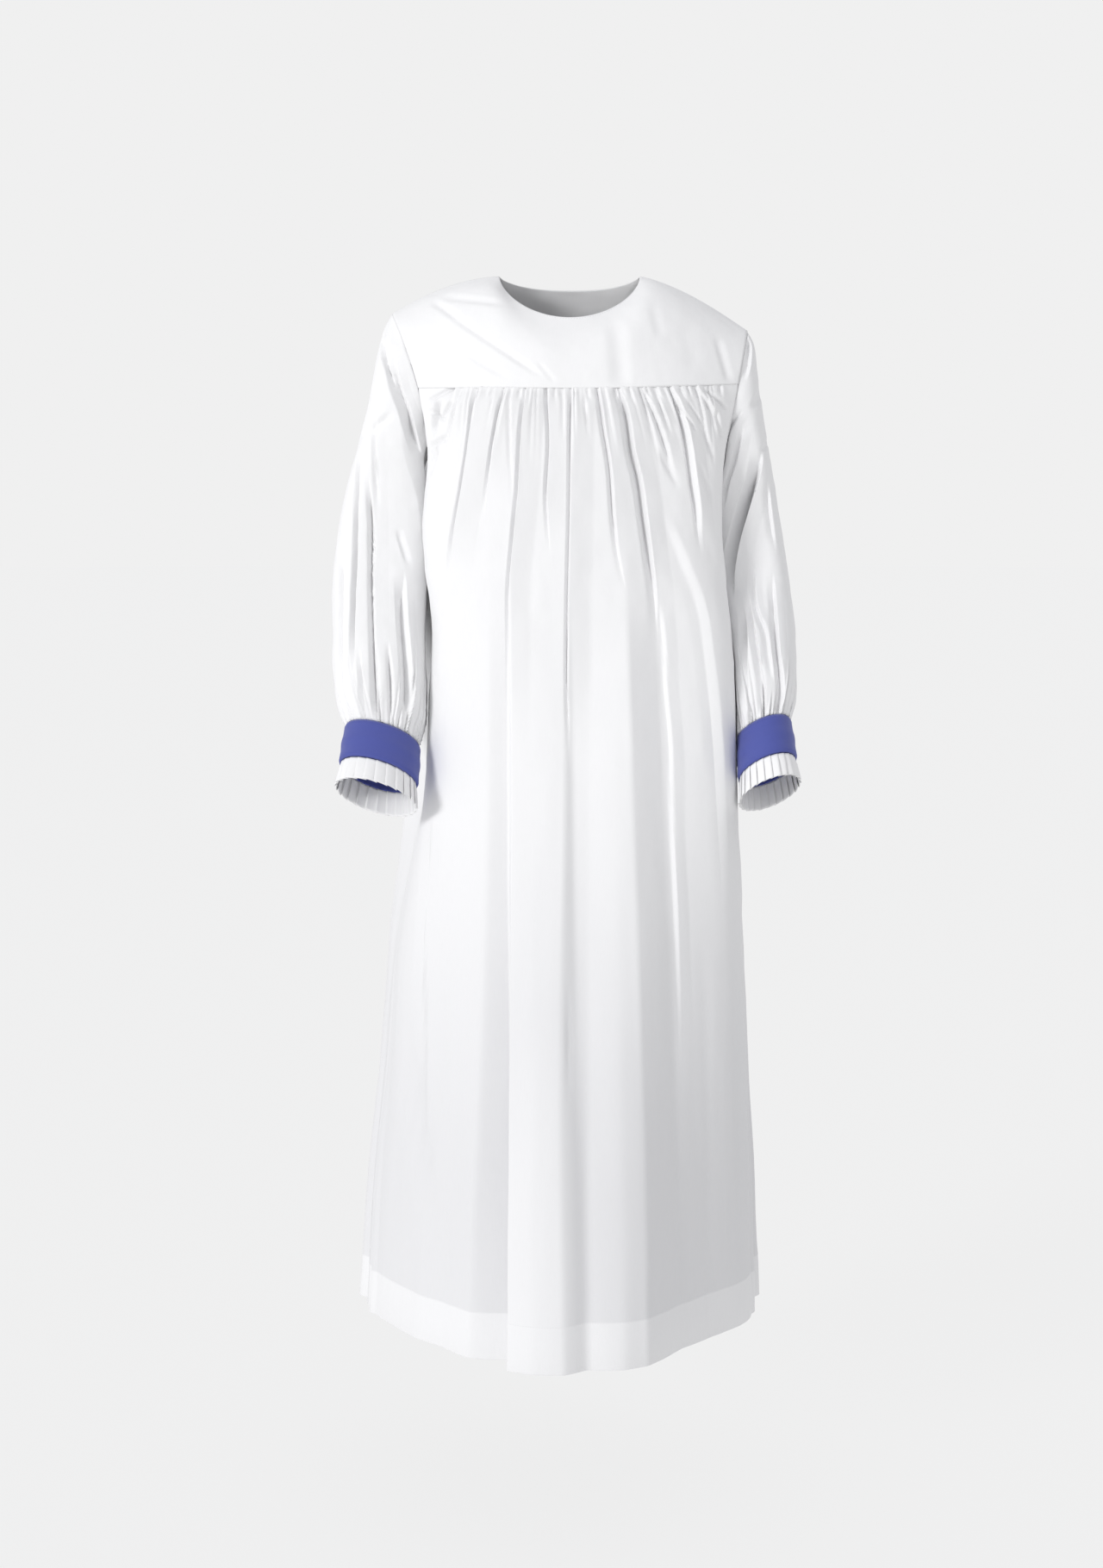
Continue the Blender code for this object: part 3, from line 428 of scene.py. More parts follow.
def skirt_height(corners, x, z):
    """How far the skirt's broad folds move the cloth out."""
    knots = [-level for level in SKIRT_LEVELS]
    lines = [(smooth_curve(-z, knots, c.x), smooth_curve(-z, knots, c.height)) for c in corners]
    offsets = CORNER_ROUNDING * np.linspace(-1, 1, CORNER_STEPS)
    total = np.zeros_like(x)
    for (x_a, h_a), (x_b, h_b) in zip(lines, lines[1:]):
        ramp = sum(np.clip((x + off - x_a) / (x_b - x_a), 0, 1) for off in offsets)
        total += (h_b - h_a) * ramp / CORNER_STEPS
    return total * smooth_step((SKIRT_START - z) / SKIRT_GROWTH)


# Short troughs that lie aslant, each between two points (x, z), with its half-width and depth.
# The front has puckers beside both armholes, a kink in the pleat and a broad one low on the right
DRAG_FADE = 0.3
Drag = namedtuple("Drag", "start end width depth")
PUCKERS = metres([
    Drag((-130, -133), (-170, -155), 4, 5.5),
    Drag((-151, -146), (-160, -194), 5.5, 11),
    Drag((-140, -176), (-166, -162), 3.2, 6),
    Drag((-138, -192), (-168, -208), 4.5, 6),
    Drag((-134, -150), (-146, -172), 3.5, 5),
    Drag((-152, -205), (-164, -236), 4, 5.5),
    Drag((116, -150), (146, -190), 3, 3),
    Drag((132, -150), (158, -188), 3, 2.8),
    Drag((100, -210), (126, -250), 5, 3.5),
    Drag((146, -226), (166, -270), 5, 3),
    Drag((156, -138), (186, -162), 3.5, 4.5),
    Drag((166, -158), (178, -200), 3.8, 4.5),
    Drag((150, -178), (168, -224), 4, 3.5),
    Drag((-20, -860), (4, -900), 5, 3),
    Drag((-196, -930), (-158, -1100), 18, 8.5),
])


def drag_depth(drags, x, z):
    """How far the drag lines sink the cloth."""
    total = np.zeros_like(x)
    for drag in drags:
        way_x, way_z = drag.end[0] - drag.start[0], drag.end[1] - drag.start[1]
        length = np.hypot(way_x, way_z)
        along = ((x - drag.start[0]) * way_x + (z - drag.start[1]) * way_z) / length**2
        off = np.abs((x - drag.start[0]) * way_z - (z - drag.start[1]) * way_x) / length
        trough = (1 + np.cos(pi * np.clip(off / drag.width, 0, 1))) / 2
        total += drag.depth * trough * window(along, DRAG_FADE, DRAG_FADE)
    return total


# The small gathers that the needle pulls up along a yoke seam: how many, where the first and
# the last sit, and the least and the most of their half-width, depth and length. The sines of
# the beats make each one different
Gathers = namedtuple("Gathers", "count first last width depth length")
FRONT_GATHERS = Gathers(54, -0.138, 0.180, (0.0022, 0.0036), (0.0012, 0.0038), (0.016, 0.120))
BACK_GATHERS = Gathers(50, -0.146, 0.162, (0.0022, 0.0036), (0.0012, 0.0038), (0.016, 0.120))
GATHER_BEATS = (2.4, 1.7, 3.1, 5.3)
GATHER_JITTER = 0.42
GATHER_EDGE = 0.4
GATHER_RISE = 0.6
GATHER_AFTER = 1.7
GATHER_GROWTH = 0.9
GATHER_AT_SEAM = 0.4
PUFF = 0.0045
PUFF_GROWTH = 0.020
PUFF_LENGTH = 0.26
ROOT = 0.0002
ROOT_GROWTH = 0.006
CRUMPLE_FADE, CRUMPLE_SPREAD, CRUMPLE_OCTAVES = 0.8, 2.1, 3


def gather_height(gathers, seam_x, below):
    """How far the small gathers below a seam move the cloth out."""
    total = np.zeros_like(below)
    for k in range(gathers.count):
        place, wide, deep, long = (0.5 + 0.5 * sin(beat * k + beat) for beat in GATHER_BEATS)
        along = (k + GATHER_JITTER * (2 * place - 1)) / (gathers.count - 1)
        middle = between(gathers.first, gathers.last, along)
        width, depth = between(*gathers.width, wide), between(*gathers.depth, deep)
        length = between(*gathers.length, long**3)
        off = (seam_x - middle) / (1 + GATHER_GROWTH * below / length)
        rise, after, edge = GATHER_RISE * depth, GATHER_AFTER * width, GATHER_EDGE * width
        fold = pressed_fold(off, depth, width, rise, after, edge)
        total += fold * (1 - smooth_step(below / length))
    return total * between(GATHER_AT_SEAM, 1, smooth_step(below / ROOT_GROWTH))


def crumple(points, size, depth, seed):
    """Slight unevenness of worn cloth, as heights."""
    flat = points.reshape(-1, 3) / size
    shift = Vector((seed, 2 * seed, 3 * seed))
    form = (CRUMPLE_FADE, CRUMPLE_SPREAD, CRUMPLE_OCTAVES)
    heights = [noise.fractal(Vector(point) + shift, *form) for point in flat]
    return depth * np.array(heights).reshape(points.shape[:-1])


def finish(piece, material):
    """Gives a piece its material. The rochet is one body, so every piece rides
    on its root."""
    piece.data.materials.append(material)
    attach(piece, "root")


def cloth_piece(name, node, outer, across, flip, wall, double, material):
    """A sheet of cloth through a grid of points, with its wall inside them, in a node's place.
    across is how far each column lies across the cut cloth, in metres, and has one more column
    where the last one meets the first. The UV map runs in metres along the cloth's threads.
    double is how much of the cloth shows as double, from 0 to 1. On the sleeves it is painted
    light and shade rather than more cloth."""
    rows, columns = outer.shape[:2]
    spans = across.shape[1] - 1
    i, j = np.meshgrid(np.arange(spans), np.arange(rows - 1))
    k = (i + 1) % columns
    corners = [j * columns + i, (j + 1) * columns + i, (j + 1) * columns + k, j * columns + k]
    ends = [i, i, i + 1, i + 1]
    levels = [j, j + 1, j + 1, j]
    if not flip:
        corners, ends, levels = corners[::-1], ends[::-1], levels[::-1]
    faces = np.stack(corners, axis=-1).reshape(-1, 4)
    mesh = bpy.data.meshes.new(name)
    mesh.from_pydata(outer.reshape(-1, 3).tolist(), [], faces.tolist())
    steps = np.linalg.norm(np.diff(outer, axis=0), axis=-1).mean(axis=1)
    down = np.concatenate([[0], np.cumsum(steps)])
    levels = np.stack(levels, axis=-1).reshape(-1)
    ends = np.stack(ends, axis=-1).reshape(-1)
    threads = mesh.uv_layers.new(name="threads")
    threads.data.foreach_set("uv", np.stack([across[levels, ends], -down[levels]], axis=-1).ravel())
    layers_and_painted_light = mesh.attributes.new("double", "FLOAT", "POINT")
    layers_and_painted_light.data.foreach_set("value", np.broadcast_to(double, (rows, columns)).ravel().astype("f"))
    mesh.shade_smooth()
    piece = bpy.data.objects.new(name, mesh)
    bpy.context.collection.objects.link(piece)
    shell = piece.modifiers.new("wall", "SOLIDIFY")
    shell.thickness = wall
    shell.offset = -1
    bpy.ops.object.select_all(action="DESELECT")
    bpy.context.view_layer.objects.active = piece
    piece.select_set(True)
    bpy.ops.object.modifier_apply(modifier="wall")
    piece.select_set(False)
    finish(piece, material)
    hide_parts(node)
    return piece


STITCH_PITCH = 0.0032
STITCH_WIDTH = 0.00055
STITCH_FROM, STITCH_SHARE = 0.15, 0.7
STITCH_SUNK, STITCH_PROUD = 0.3, 0.55
STITCH_ROUND = 0.2


def stitches(name, points, outs, material, slot):
    """A row of machine stitches along a line of cloth: small ridges end to end."""
    points, outs = np.asarray(points), np.asarray(outs)
    way = np.concatenate([[0], np.cumsum(np.linalg.norm(np.diff(points, axis=0), axis=1))])
    count = int(way[-1] / STITCH_PITCH)
    starts = (np.arange(count) + STITCH_FROM) * way[-1] / count
    ends = starts + STITCH_SHARE * way[-1] / count
    a, b, out = (
        np.stack([np.interp(at, way, values[:, i]) for i in range(3)], axis=1)
        for at, values in ((starts, points), (ends, points), (starts, outs))
    )
    along = (b - a) / np.linalg.norm(b - a, axis=1, keepdims=True)
    side = np.cross(out, along) * STITCH_WIDTH / 2
    low, high = -STITCH_WIDTH * STITCH_SUNK * out, STITCH_WIDTH * STITCH_PROUD * out
    corners = [a - side + low, a + side + low, b + side + low, b - side + low]
    corners += [a + STITCH_ROUND * (b - a) + high, b - STITCH_ROUND * (b - a) + high]
    verts = np.stack(corners, axis=1).reshape(-1, 3)
    pattern = ((0, 3, 2, 1), (3, 0, 4, 5), (1, 2, 5, 4), (0, 1, 4), (2, 3, 5))
    faces = [tuple(6 * k + i for i in face) for k in range(count) for face in pattern]
    mesh = bpy.data.meshes.new(name)
    mesh.from_pydata(verts.tolist(), [], faces)
    piece = bpy.data.objects.new(name, mesh)
    bpy.context.collection.objects.link(piece)
    finish(piece, material)


# The wave texture's scale for one wave to a metre
WAVE_TURN = 2 * pi / 20


def add_node(nodes, kind, values):
    """A new shader node with values for its inputs."""
    node = nodes.new("ShaderNode" + kind)
    for name, value in values.items():
        node.inputs[name].default_value = value
    return node


def new_material(name, base, roughness, sheen):
    """A matt material, its nodes, its links and its shader."""
    material = bpy.data.materials.new(name)
    material.use_nodes = True
    nodes = material.node_tree.nodes
    shader = nodes["Principled BSDF"]
    for socket, value in (
        ("Base Color", (*base, 1)), ("Roughness", roughness), ("Specular IOR Level", 0.25),
        ("Sheen Weight", sheen), ("Sheen Roughness", 0.5),
    ):
        shader.inputs[socket].default_value = value
    return material, nodes, material.node_tree.links, shader


def woven(nodes, links, shader, pitch, strength, slant):
    """A weave on the threads UV map as a fine relief. Gives the map's node."""
    place = add_node(nodes, "UVMap", {})
    place.uv_map = "threads"
    turned = add_node(nodes, "Mapping", {"Rotation": (0, 0, slant)})
    links.new(place.outputs["UV"], turned.inputs["Vector"])
    crossing = add_node(nodes, "Math", {})
    crossing.operation = "MULTIPLY"
    values = {"Scale": WAVE_TURN / pitch, "Distortion": 0.6, "Detail Scale": 0.4}
    for direction, socket in zip("XY", crossing.inputs):
        wave = add_node(nodes, "TexWave", values)
        wave.bands_direction = direction
        links.new(turned.outputs["Vector"], wave.inputs["Vector"])
        links.new(wave.outputs["Fac"], socket)
    bump = add_node(nodes, "Bump", {"Strength": strength, "Distance": pitch / 3})
    links.new(crossing.outputs["Value"], bump.inputs["Height"])
    links.new(bump.outputs["Normal"], shader.inputs["Normal"])
    return place


# White cotton: a plain weave of about 30 threads to the centimetre, with slightly uneven
# threads. A single layer is a little cooler and greyer than cloth that lies on more cloth.
# The sleeves are single cloth, but their white is painted light: they take the double white,
# the left one less than the right, as painted shade
COTTON_SINGLE = (0.700, 0.700, 0.712)
COTTON_DOUBLE_AND_PAINTED_LIGHT = (0.850, 0.850, 0.855)
THREAD = 0.00034
SLUBS = (900, 60, 1)


def white_cotton():
    """The white cloth, whose white follows each piece's attribute for double cloth. On the
    sleeves that attribute is painted light and shade.
    """
    material, nodes, links, shader = new_material(
        "white_cotton", COTTON_SINGLE, roughness=0.82, sheen=0.10
    )
    place = woven(nodes, links, shader, THREAD, strength=0.25, slant=0)
    layers_and_painted_light = add_node(nodes, "Attribute", {})
    layers_and_painted_light.attribute_name = "double"
    mixed = nodes.new("ShaderNodeMix")
    mixed.data_type = "RGBA"
    mixed.inputs["A"].default_value = (*COTTON_SINGLE, 1)
    mixed.inputs["B"].default_value = (*COTTON_DOUBLE_AND_PAINTED_LIGHT, 1)
    links.new(layers_and_painted_light.outputs["Fac"], mixed.inputs["Factor"])
    stretch = add_node(nodes, "Mapping", {"Scale": SLUBS})
    slubs = add_node(nodes, "TexNoise", {"Scale": 1, "Detail": 3})
    links.new(place.outputs["UV"], stretch.inputs["Vector"])
    links.new(stretch.outputs["Vector"], slubs.inputs["Vector"])
    tone = add_node(nodes, "MapRange", {"To Min": 0.975, "To Max": 1.02})
    links.new(slubs.outputs["Fac"], tone.inputs["Value"])
    shaded = add_node(nodes, "VectorMath", {})
    shaded.operation = "SCALE"
    links.new(mixed.outputs["Result"], shaded.inputs["Vector"])
    links.new(tone.outputs["Result"], shaded.inputs["Scale"])
    links.new(shaded.outputs["Vector"], shader.inputs["Base Color"])
    return material


cotton = white_cotton()

# The panels' grid, closer near the seam and round each crease, and how their cloth lies in the
# seam, below it and at the hem
PANEL_COLUMNS = 456
PANEL_ROW_RUNS = (
    (0.0, 0.012, 9), (0.012, 0.06, 21), (0.06, 0.24, 32), (0.24, 0.40, 10), (0.40, 1.0, 18)
)
PANEL_WIDTH = 0.88
PLACES = 2400
CROWDING = 2.4
CROWD_REACH = 0.0040
HEM_FOLD = 0.0020
HEM_TURNS = radians(45) * np.arange(1, 4)[:, None, None]
HEM_STEP = 0.0012
HEM_FREE = 0.004
HEM_STITCH_ROW = 1
FLAT_SIDE = 0.03
ARMHOLE_GROWTH = 0.004
CREASE_AT_SEAM = 0.25
CREASE_GROWTH = 0.030
PANEL_CRUMPLE = (0.060, 0.0014)
FRONT_SEED, BACK_SEED = 3, 7
CHEST_LAYERS = 0.85
CHEST_FOOT = -0.50
CHEST_FADE = 0.60
PLEAT_LAYERS = 0.45
PLEAT_SIDES = (-0.0700, 0.010)
PLEAT_BLENDS = (0.002, 0.02)
TUCK_IN = 0.0020
TUCK_UP = 0.0045
TUCK_BLEND = 0.01
HEM_LAYERS = 0.50
SIDE_FOLD_GROWTH = 0.4


# Soft folds on the hidden sides, as shares of the way from the middle of a panel to its side
SideFold = namedtuple("SideFold", "top foot width height start")
SIDE_FOLDS = [
    SideFold(0.960, 0.950, 0.040, -0.005, 0.50),
    SideFold(0.915, 0.905, 0.050, 0.004, 0.55),
]


def panel_threads(shares, back):
    """Where each column of a panel's grid starts at the top, in x, and how far across the panel
    it lies at each share of the way down. The columns crowd round the creases' lines."""
    flow = np.array(BACK_FLOW if back else FRONT_FLOW)
    places = np.linspace(-1, 1, PLACES)
    seam_x = panel_top(places, back)[:, 0]
    near = sum(np.exp(-(((seam_x - line[0]) / CROWD_REACH) ** 2)) for line in flow)
    column = 2 * crowded(near[None], PANEL_COLUMNS)[0] - 1
    seam_u = np.interp(flow[:, 0], seam_x, places)
    levels = [-level for level in FLOW_LEVELS]
    u = []
    for row in panel_base(places[None], shares[:, None], back)[0]:
        depth = -row[PLACES // 2, 2]
        line_x = np.array([float(smooth_curve(depth, levels, line)) for line in flow])
        line_u = np.interp(line_x, row[:, 0], places)
        u.append(np.interp(column, [-1, *seam_u, 1], [-1, *line_u, 1]))
    return np.interp(column, places, seam_x), np.array(u)


def panel_height(base, u, share, seam_x, back):
    """How far the cloth of a panel stands out from its smooth form."""
    x, z = base[..., 0], base[..., 2]
    below = panel_top(u, back)[..., 2] - z
    height = crease_height(BACK_CREASES if back else FRONT_CREASES, x, z)
    height *= between(CREASE_AT_SEAM, 1, smooth_step(below / CREASE_GROWTH))
    height += skirt_height(BACK_SKIRT if back else FRONT_SKIRT, x, z)
    if not back:
        height -= drag_depth(PUCKERS, x, z)
    for fold in SIDE_FOLDS:
        middle = between(fold.top, fold.foot, share)
        shape = np.clip(1 - np.abs(np.abs(u) - middle) / fold.width, 0, 1)
        grown = smooth_step((share - fold.start) / SIDE_FOLD_GROWTH)
        height += fold.height * smooth_step(shape) * grown
    in_seam = smooth_step((SEAM_SHARE - np.abs(u)) / (1 - SEAM_SHARE))
    puff = PUFF * smooth_step(below / PUFF_GROWTH) * (1 - smooth_step(below / PUFF_LENGTH))
    gathers = gather_height(BACK_GATHERS if back else FRONT_GATHERS, seam_x, below)
    height += in_seam * (gathers + puff)
    height += crumple(base, *PANEL_CRUMPLE, BACK_SEED if back else FRONT_SEED)
    height *= smooth_step((1 - np.abs(u)) / FLAT_SIDE)
    height *= between(smooth_step(below / ARMHOLE_GROWTH), 1, in_seam)
    return height - ROOT * (1 - smooth_step(below / ROOT_GROWTH))


def panel_layers(x, z, back):
    """How much of a panel's cloth shows as double: the gathered chest does, and in front the
    lapped pleat, which lies on itself."""
    below_chest = smooth_step((CHEST_FOOT - z) / CHEST_FADE)
    pleat = smooth_step((x - PLEAT_SIDES[0]) / PLEAT_BLENDS[0])
    pleat = pleat * smooth_step((PLEAT_SIDES[1] - x) / PLEAT_BLENDS[1])
    pleat = (0 if back else PLEAT_LAYERS) * pleat * below_chest
    return np.maximum(CHEST_LAYERS * (1 - below_chest), pleat)


def panel(name, node, back):
    """The front or the back of the body, gathered into the yoke and hemmed at the foot.
    Gives the piece, its outer grid, and the line and outward directions of its hem's stitches."""
    shares = np.concatenate([np.linspace(a, b, n, endpoint=False) for a, b, n in PANEL_ROW_RUNS])
    hem_top = 1 - HEM_DEPTH / (FRONT_SEAM_Z - HEM_Z)
    shares = shares[np.abs(shares - hem_top) > HEM_FREE]
    shares = np.sort(np.append(shares, (hem_top - HEM_STEP, hem_top, hem_top + HEM_STEP, 1)))
    hem_row = int(np.argmin(np.abs(shares - hem_top)))
    seam_x, u = panel_threads(shares, back)
    share = np.broadcast_to(shares[:, None], u.shape)
    base, out = panel_base(u, share, back)
    height = panel_height(base, u, share, np.broadcast_to(seam_x, u.shape), back)
    outer = base + out * height[..., None]
    in_yoke = smooth_step((SEAM_SHARE - np.abs(u[0])) / TUCK_BLEND)[:, None]
    flat = base[0] - TUCK_IN * out[0] + np.array([0, 0, TUCK_UP])
    tucked = between(outer[0], flat, in_yoke) + np.array([0, 0, SEAM_GAP / 2]) * (1 - in_yoke)
    turned = outer[hem_row:][::-1] - HEM_FOLD * out[hem_row:][::-1]
    up = np.array([0, 0, 1])
    fold = outer[-1] - HEM_FOLD / 2 * ((1 - np.cos(HEM_TURNS)) * out[-1] + np.sin(HEM_TURNS) * up)
    grid = np.concatenate([tucked[None], outer, fold, turned])
    across = np.concatenate([u[:1], u, u[-1:], u[-1:], u[-1:], u[hem_row:][::-1]])
    across = (across + 1) / 2 * PANEL_WIDTH
    layers_and_painted_light = panel_layers(base[..., 0], base[..., 2], back)
    double = np.full(grid.shape[:2], HEM_LAYERS)
    double[1 : hem_row + 2] = layers_and_painted_light[: hem_row + 1]
    piece = cloth_piece(name, node, grid, across, not back, CLOTH, double, cotton)
    stitch_row = hem_row + HEM_STITCH_ROW
    return piece, outer, outer[stitch_row], out[stitch_row]


front_panel, front_cloth, *front_hem = panel("front_body", "front_panel", False)
back_panel, back_cloth, *back_hem = panel("back_body", "back_panel", True)
stitches("front_hem_stitches", *front_hem, cotton, "white_cotton")
stitches("back_hem_stitches", *back_hem, cotton, "white_cotton")


# The yoke: a plain, flat front and back, joined on the shoulders
# It carries the whole gown from the shoulders. Its lower edge is pressed down over the gathers
# and stands a thread's thickness proud of them

NECK_HALF = 0.084
NECK_FRONT_Y = -0.090
NECK_FRONT_DROP = 0.055
NECK_BACK_Y = 0.076
NECK_BACK_DROP = 0.010
NECK_SHARE = 0.5
ARMHOLE_PULL_START = 0.3
ARMHOLE_PULL_CURVE = 1.5
YOKE_ROUNDING = (0.009, 0.020, 0.034, 0.017, 0.0)
CENTRE_OUT, CENTRE_UP = 0.95, 0.30
SHOULDER_OUT, SHOULDER_UP = 0.50, 0.86
NECK_FRONT_CURVE = 1.2
NECK_BACK_CURVE = 1.5
NECK_BACK_FULLNESS = 0.85
SHOULDER_FALL = 1.25
YOKE_COLUMNS = 170
YOKE_ROWS = 70
YOKE_SETTLING = 120
YOKE_HELD = 0.10
YOKE_LAP = 0.0003
YOKE_LAP_SHARE = 0.07
YOKE_LAP_END = 0.03
YOKE_EDGE = 0.06
YOKE_SEAM_EDGE = 0.04
YOKE_CRUMPLE = (0.05, 0.0008)
FRONT_YOKE_SEED, BACK_YOKE_SEED = 5, 11
YOKE_CLOTH = 0.0009
YOKE_WIDTH = 0.44
NECK_STITCH_ROW = 2

# Drag lines of the front and back yokes on their shoulders
FRONT_DRAGS = metres([
    Drag((-156, -40), (-24, -131), 6.5, 4),
    Drag((-166, -30), (-128, -56), 7, 3),
    Drag((-126, -95), (-70, -127), 6, 2.4),
    Drag((-160, -26), (-66, -40), 7, 2.2),
    Drag((-40, -106), (-16, -134), 5, 1.4),
    Drag((52, -50), (60, -150), 17, 3),
    Drag((96, -34), (106, -84), 10, 1.2),
    Drag((130, -60), (150, -120), 16, 1),
    Drag((172, -70), (190, -136), 8, 2.4),
    Drag((-196, -62), (-184, -104), 5, 1.6),
])
BACK_DRAGS = metres([
    Drag((-150, -60), (-60, -138), 8, 2.4),
    Drag((-112, -100), (-74, -138), 7, 1.6),
    Drag((150, -66), (66, -138), 8, 2.4),
    Drag((40, -80), (46, -144), 10, 1.4),
    Drag((-18, -90), (-14, -144), 10, 1.2),
    Drag((188, -76), (190, -124), 7, 2),
    Drag((-188, -70), (-178, -120), 7, 2),
])


def neck_point(share, back):
    """A point of the neck opening. share runs from -1 at its right side to 1 at its left."""
    a = 0.5 * pi * (1 - np.abs(share))
    x = NECK_HALF * np.cos(a)
    y = NECK_FRONT_Y * np.sin(a)
    z = -NECK_FRONT_DROP * np.sin(a) ** NECK_FRONT_CURVE
    if back:
        x = NECK_HALF * np.cos(a) ** NECK_BACK_FULLNESS
        y = NECK_BACK_Y * np.sin(a)
        z = -NECK_BACK_DROP * np.sin(a) ** NECK_BACK_CURVE
    return np.stack([np.sign(share) * x, y, z], axis=-1)


def shoulder_point(arm, share):
    """A point of the shoulder seam. share runs from 0 at the neck to 1 at the armhole."""
    x = between(arm.side * NECK_HALF, arm.top_x, share)
    z = arm.top_z * share**SHOULDER_FALL + arm.arch * np.sin(pi * share)
    return np.stack([x, np.zeros_like(x), z], axis=-1)


def yoke_form(s, t, back):
    """The smooth form of the front or the back of the yoke. s runs from -1 at the right
    armhole to 1 at the left, and t from 0 at the neck and shoulders to 1 at the yoke's seam."""
    neck_part = np.clip(np.abs(s) / NECK_SHARE, 0, 1)
    arm_part = np.clip((np.abs(s) - NECK_SHARE) / (1 - NECK_SHARE), 0, 1)
    top = neck_point(np.sign(s) * neck_part, back)
    for arm in (RIGHT_ARM, LEFT_ARM):
        here = (np.sign(s) == arm.side) & (arm_part > 0)
        top = np.where(here[:, None], shoulder_point(arm, arm_part), top)
    points = between(top, yoke_seam(s, back), t[..., None])
    for arm in (RIGHT_ARM, LEFT_ARM):
        loop = armhole_point(arm, between(360 if back else 0, seam_angle(arm, back), t[:, 0]))
        chord = between(loop[0], loop[-1], t)
        pull = np.clip((arm.side * s - ARMHOLE_PULL_START) / (1 - ARMHOLE_PULL_START), 0, 1)
        points = points + (loop - chord)[:, None, :] * pull[None, :, None] ** ARMHOLE_PULL_CURVE
    free = window(t, YOKE_HELD, YOKE_HELD) * smooth_step((1 - np.abs(s)) / YOKE_HELD)
    free = free[1:-1, 1:-1, None]
    rounding = smooth_curve(np.abs(s), np.linspace(0, 1, len(YOKE_ROUNDING)), YOKE_ROUNDING)
    rounding = rounding * np.sin(pi * t)
    shoulder = smooth_step(neck_part)
    forward = 1 if back else -1
    points[..., 1] += forward * between(CENTRE_OUT, SHOULDER_OUT, shoulder) * rounding
    points[..., 2] += between(CENTRE_UP, SHOULDER_UP, shoulder) * rounding
    for _ in range(YOKE_SETTLING):
        sides = points[:-2, 1:-1] + points[2:, 1:-1] + points[1:-1, :-2] + points[1:-1, 2:]
        points[1:-1, 1:-1] += 0.5 * (sides / 4 - points[1:-1, 1:-1]) * free
    return points


def yoke(name, node, back):
    """The front or the back of the yoke, from the shoulder seams down to its own seam. Gives
    the piece, and the line and outward directions of its neck's stitches."""
    s = np.linspace(-1, 1, YOKE_COLUMNS + 1)
    t = np.linspace(0, 1, YOKE_ROWS)[:, None]
    points = yoke_form(s, t, back)
    down = np.gradient(points, axis=0)
    across = np.gradient(points, axis=1)
    out = np.cross(down, across) * (-1 if back else 1)
    on_shoulder = np.abs(s) >= NECK_SHARE
    out[0, on_shoulder, 1] = 0
    out = out / np.linalg.norm(out, axis=-1, keepdims=True)
    height = -drag_depth(BACK_DRAGS if back else FRONT_DRAGS, points[..., 0], points[..., 2])
    height += crumple(points, *YOKE_CRUMPLE, BACK_YOKE_SEED if back else FRONT_YOKE_SEED)
    height = height * smooth_step((1 - np.abs(s)) / YOKE_EDGE)
    height = height * window(t, YOKE_EDGE, YOKE_SEAM_EDGE)
    lap = smooth_step((t - 1 + YOKE_LAP_SHARE) / YOKE_LAP_SHARE)
    height += YOKE_LAP * lap * smooth_step((1 - np.abs(s)) / YOKE_LAP_END)
    points = points + out * height[..., None]
    across = np.broadcast_to((s + 1) / 2 * YOKE_WIDTH, points.shape[:2])
    piece = cloth_piece(
        name, node, points, across, not back, YOKE_CLOTH, 1.0, cotton
    )
    first = round(YOKE_COLUMNS * (1 - NECK_SHARE) / 2)
    neck = slice(first, YOKE_COLUMNS + 1 - first)
    return piece, points[NECK_STITCH_ROW, neck], out[NECK_STITCH_ROW, neck]


front_yoke, *front_neck = yoke("front_yoke_cloth", "front_yoke", False)
back_yoke, *back_neck = yoke("back_yoke_cloth", "back_yoke", True)
stitches("front_neck_stitches", *front_neck, cotton, "white_cotton")
stitches("back_neck_stitches", *back_neck, cotton, "white_cotton")


# The sleeves: full and long, set in plain at the armhole and gathered into a wristband
# Each is one piece of the same cotton. It hangs in long soft folds and blouses over the band

Ring = namedtuple("Ring", "out_x out_z in_x in_z mid_y front back tip")
RIGHT_SLEEVE = [
    Ring(-0.213, -0.044, -0.167, -0.207, 0.000, 0.067, 0.070, 0),
    Ring(-0.223, -0.064, -0.170, -0.211, 0.000, 0.067, 0.070, 0),
    Ring(-0.233, -0.104, -0.176, -0.217, 0.001, 0.066, 0.070, 0),
    Ring(-0.242, -0.150, -0.183, -0.228, 0.003, 0.065, 0.069, 1),
    Ring(-0.254, -0.197, -0.187, -0.247, 0.005, 0.065, 0.068, 2),
    Ring(-0.267, -0.245, -0.189, -0.277, 0.007, 0.066, 0.068, 4),
    Ring(-0.279, -0.302, -0.189, -0.318, 0.006, 0.068, 0.070, 8),
    Ring(-0.286, -0.366, -0.187, -0.372, -0.006, 0.070, 0.073, 16),
    Ring(-0.285, -0.424, -0.180, -0.424, -0.034, 0.069, 0.074, 24),
    Ring(-0.281, -0.468, -0.175, -0.474, -0.064, 0.062, 0.068, 30),
    Ring(-0.272, -0.504, -0.175, -0.519, -0.092, 0.049, 0.052, 33),
    Ring(-0.263, -0.5335, -0.178, -0.5565, -0.112, 0.037, 0.037, 33),
]
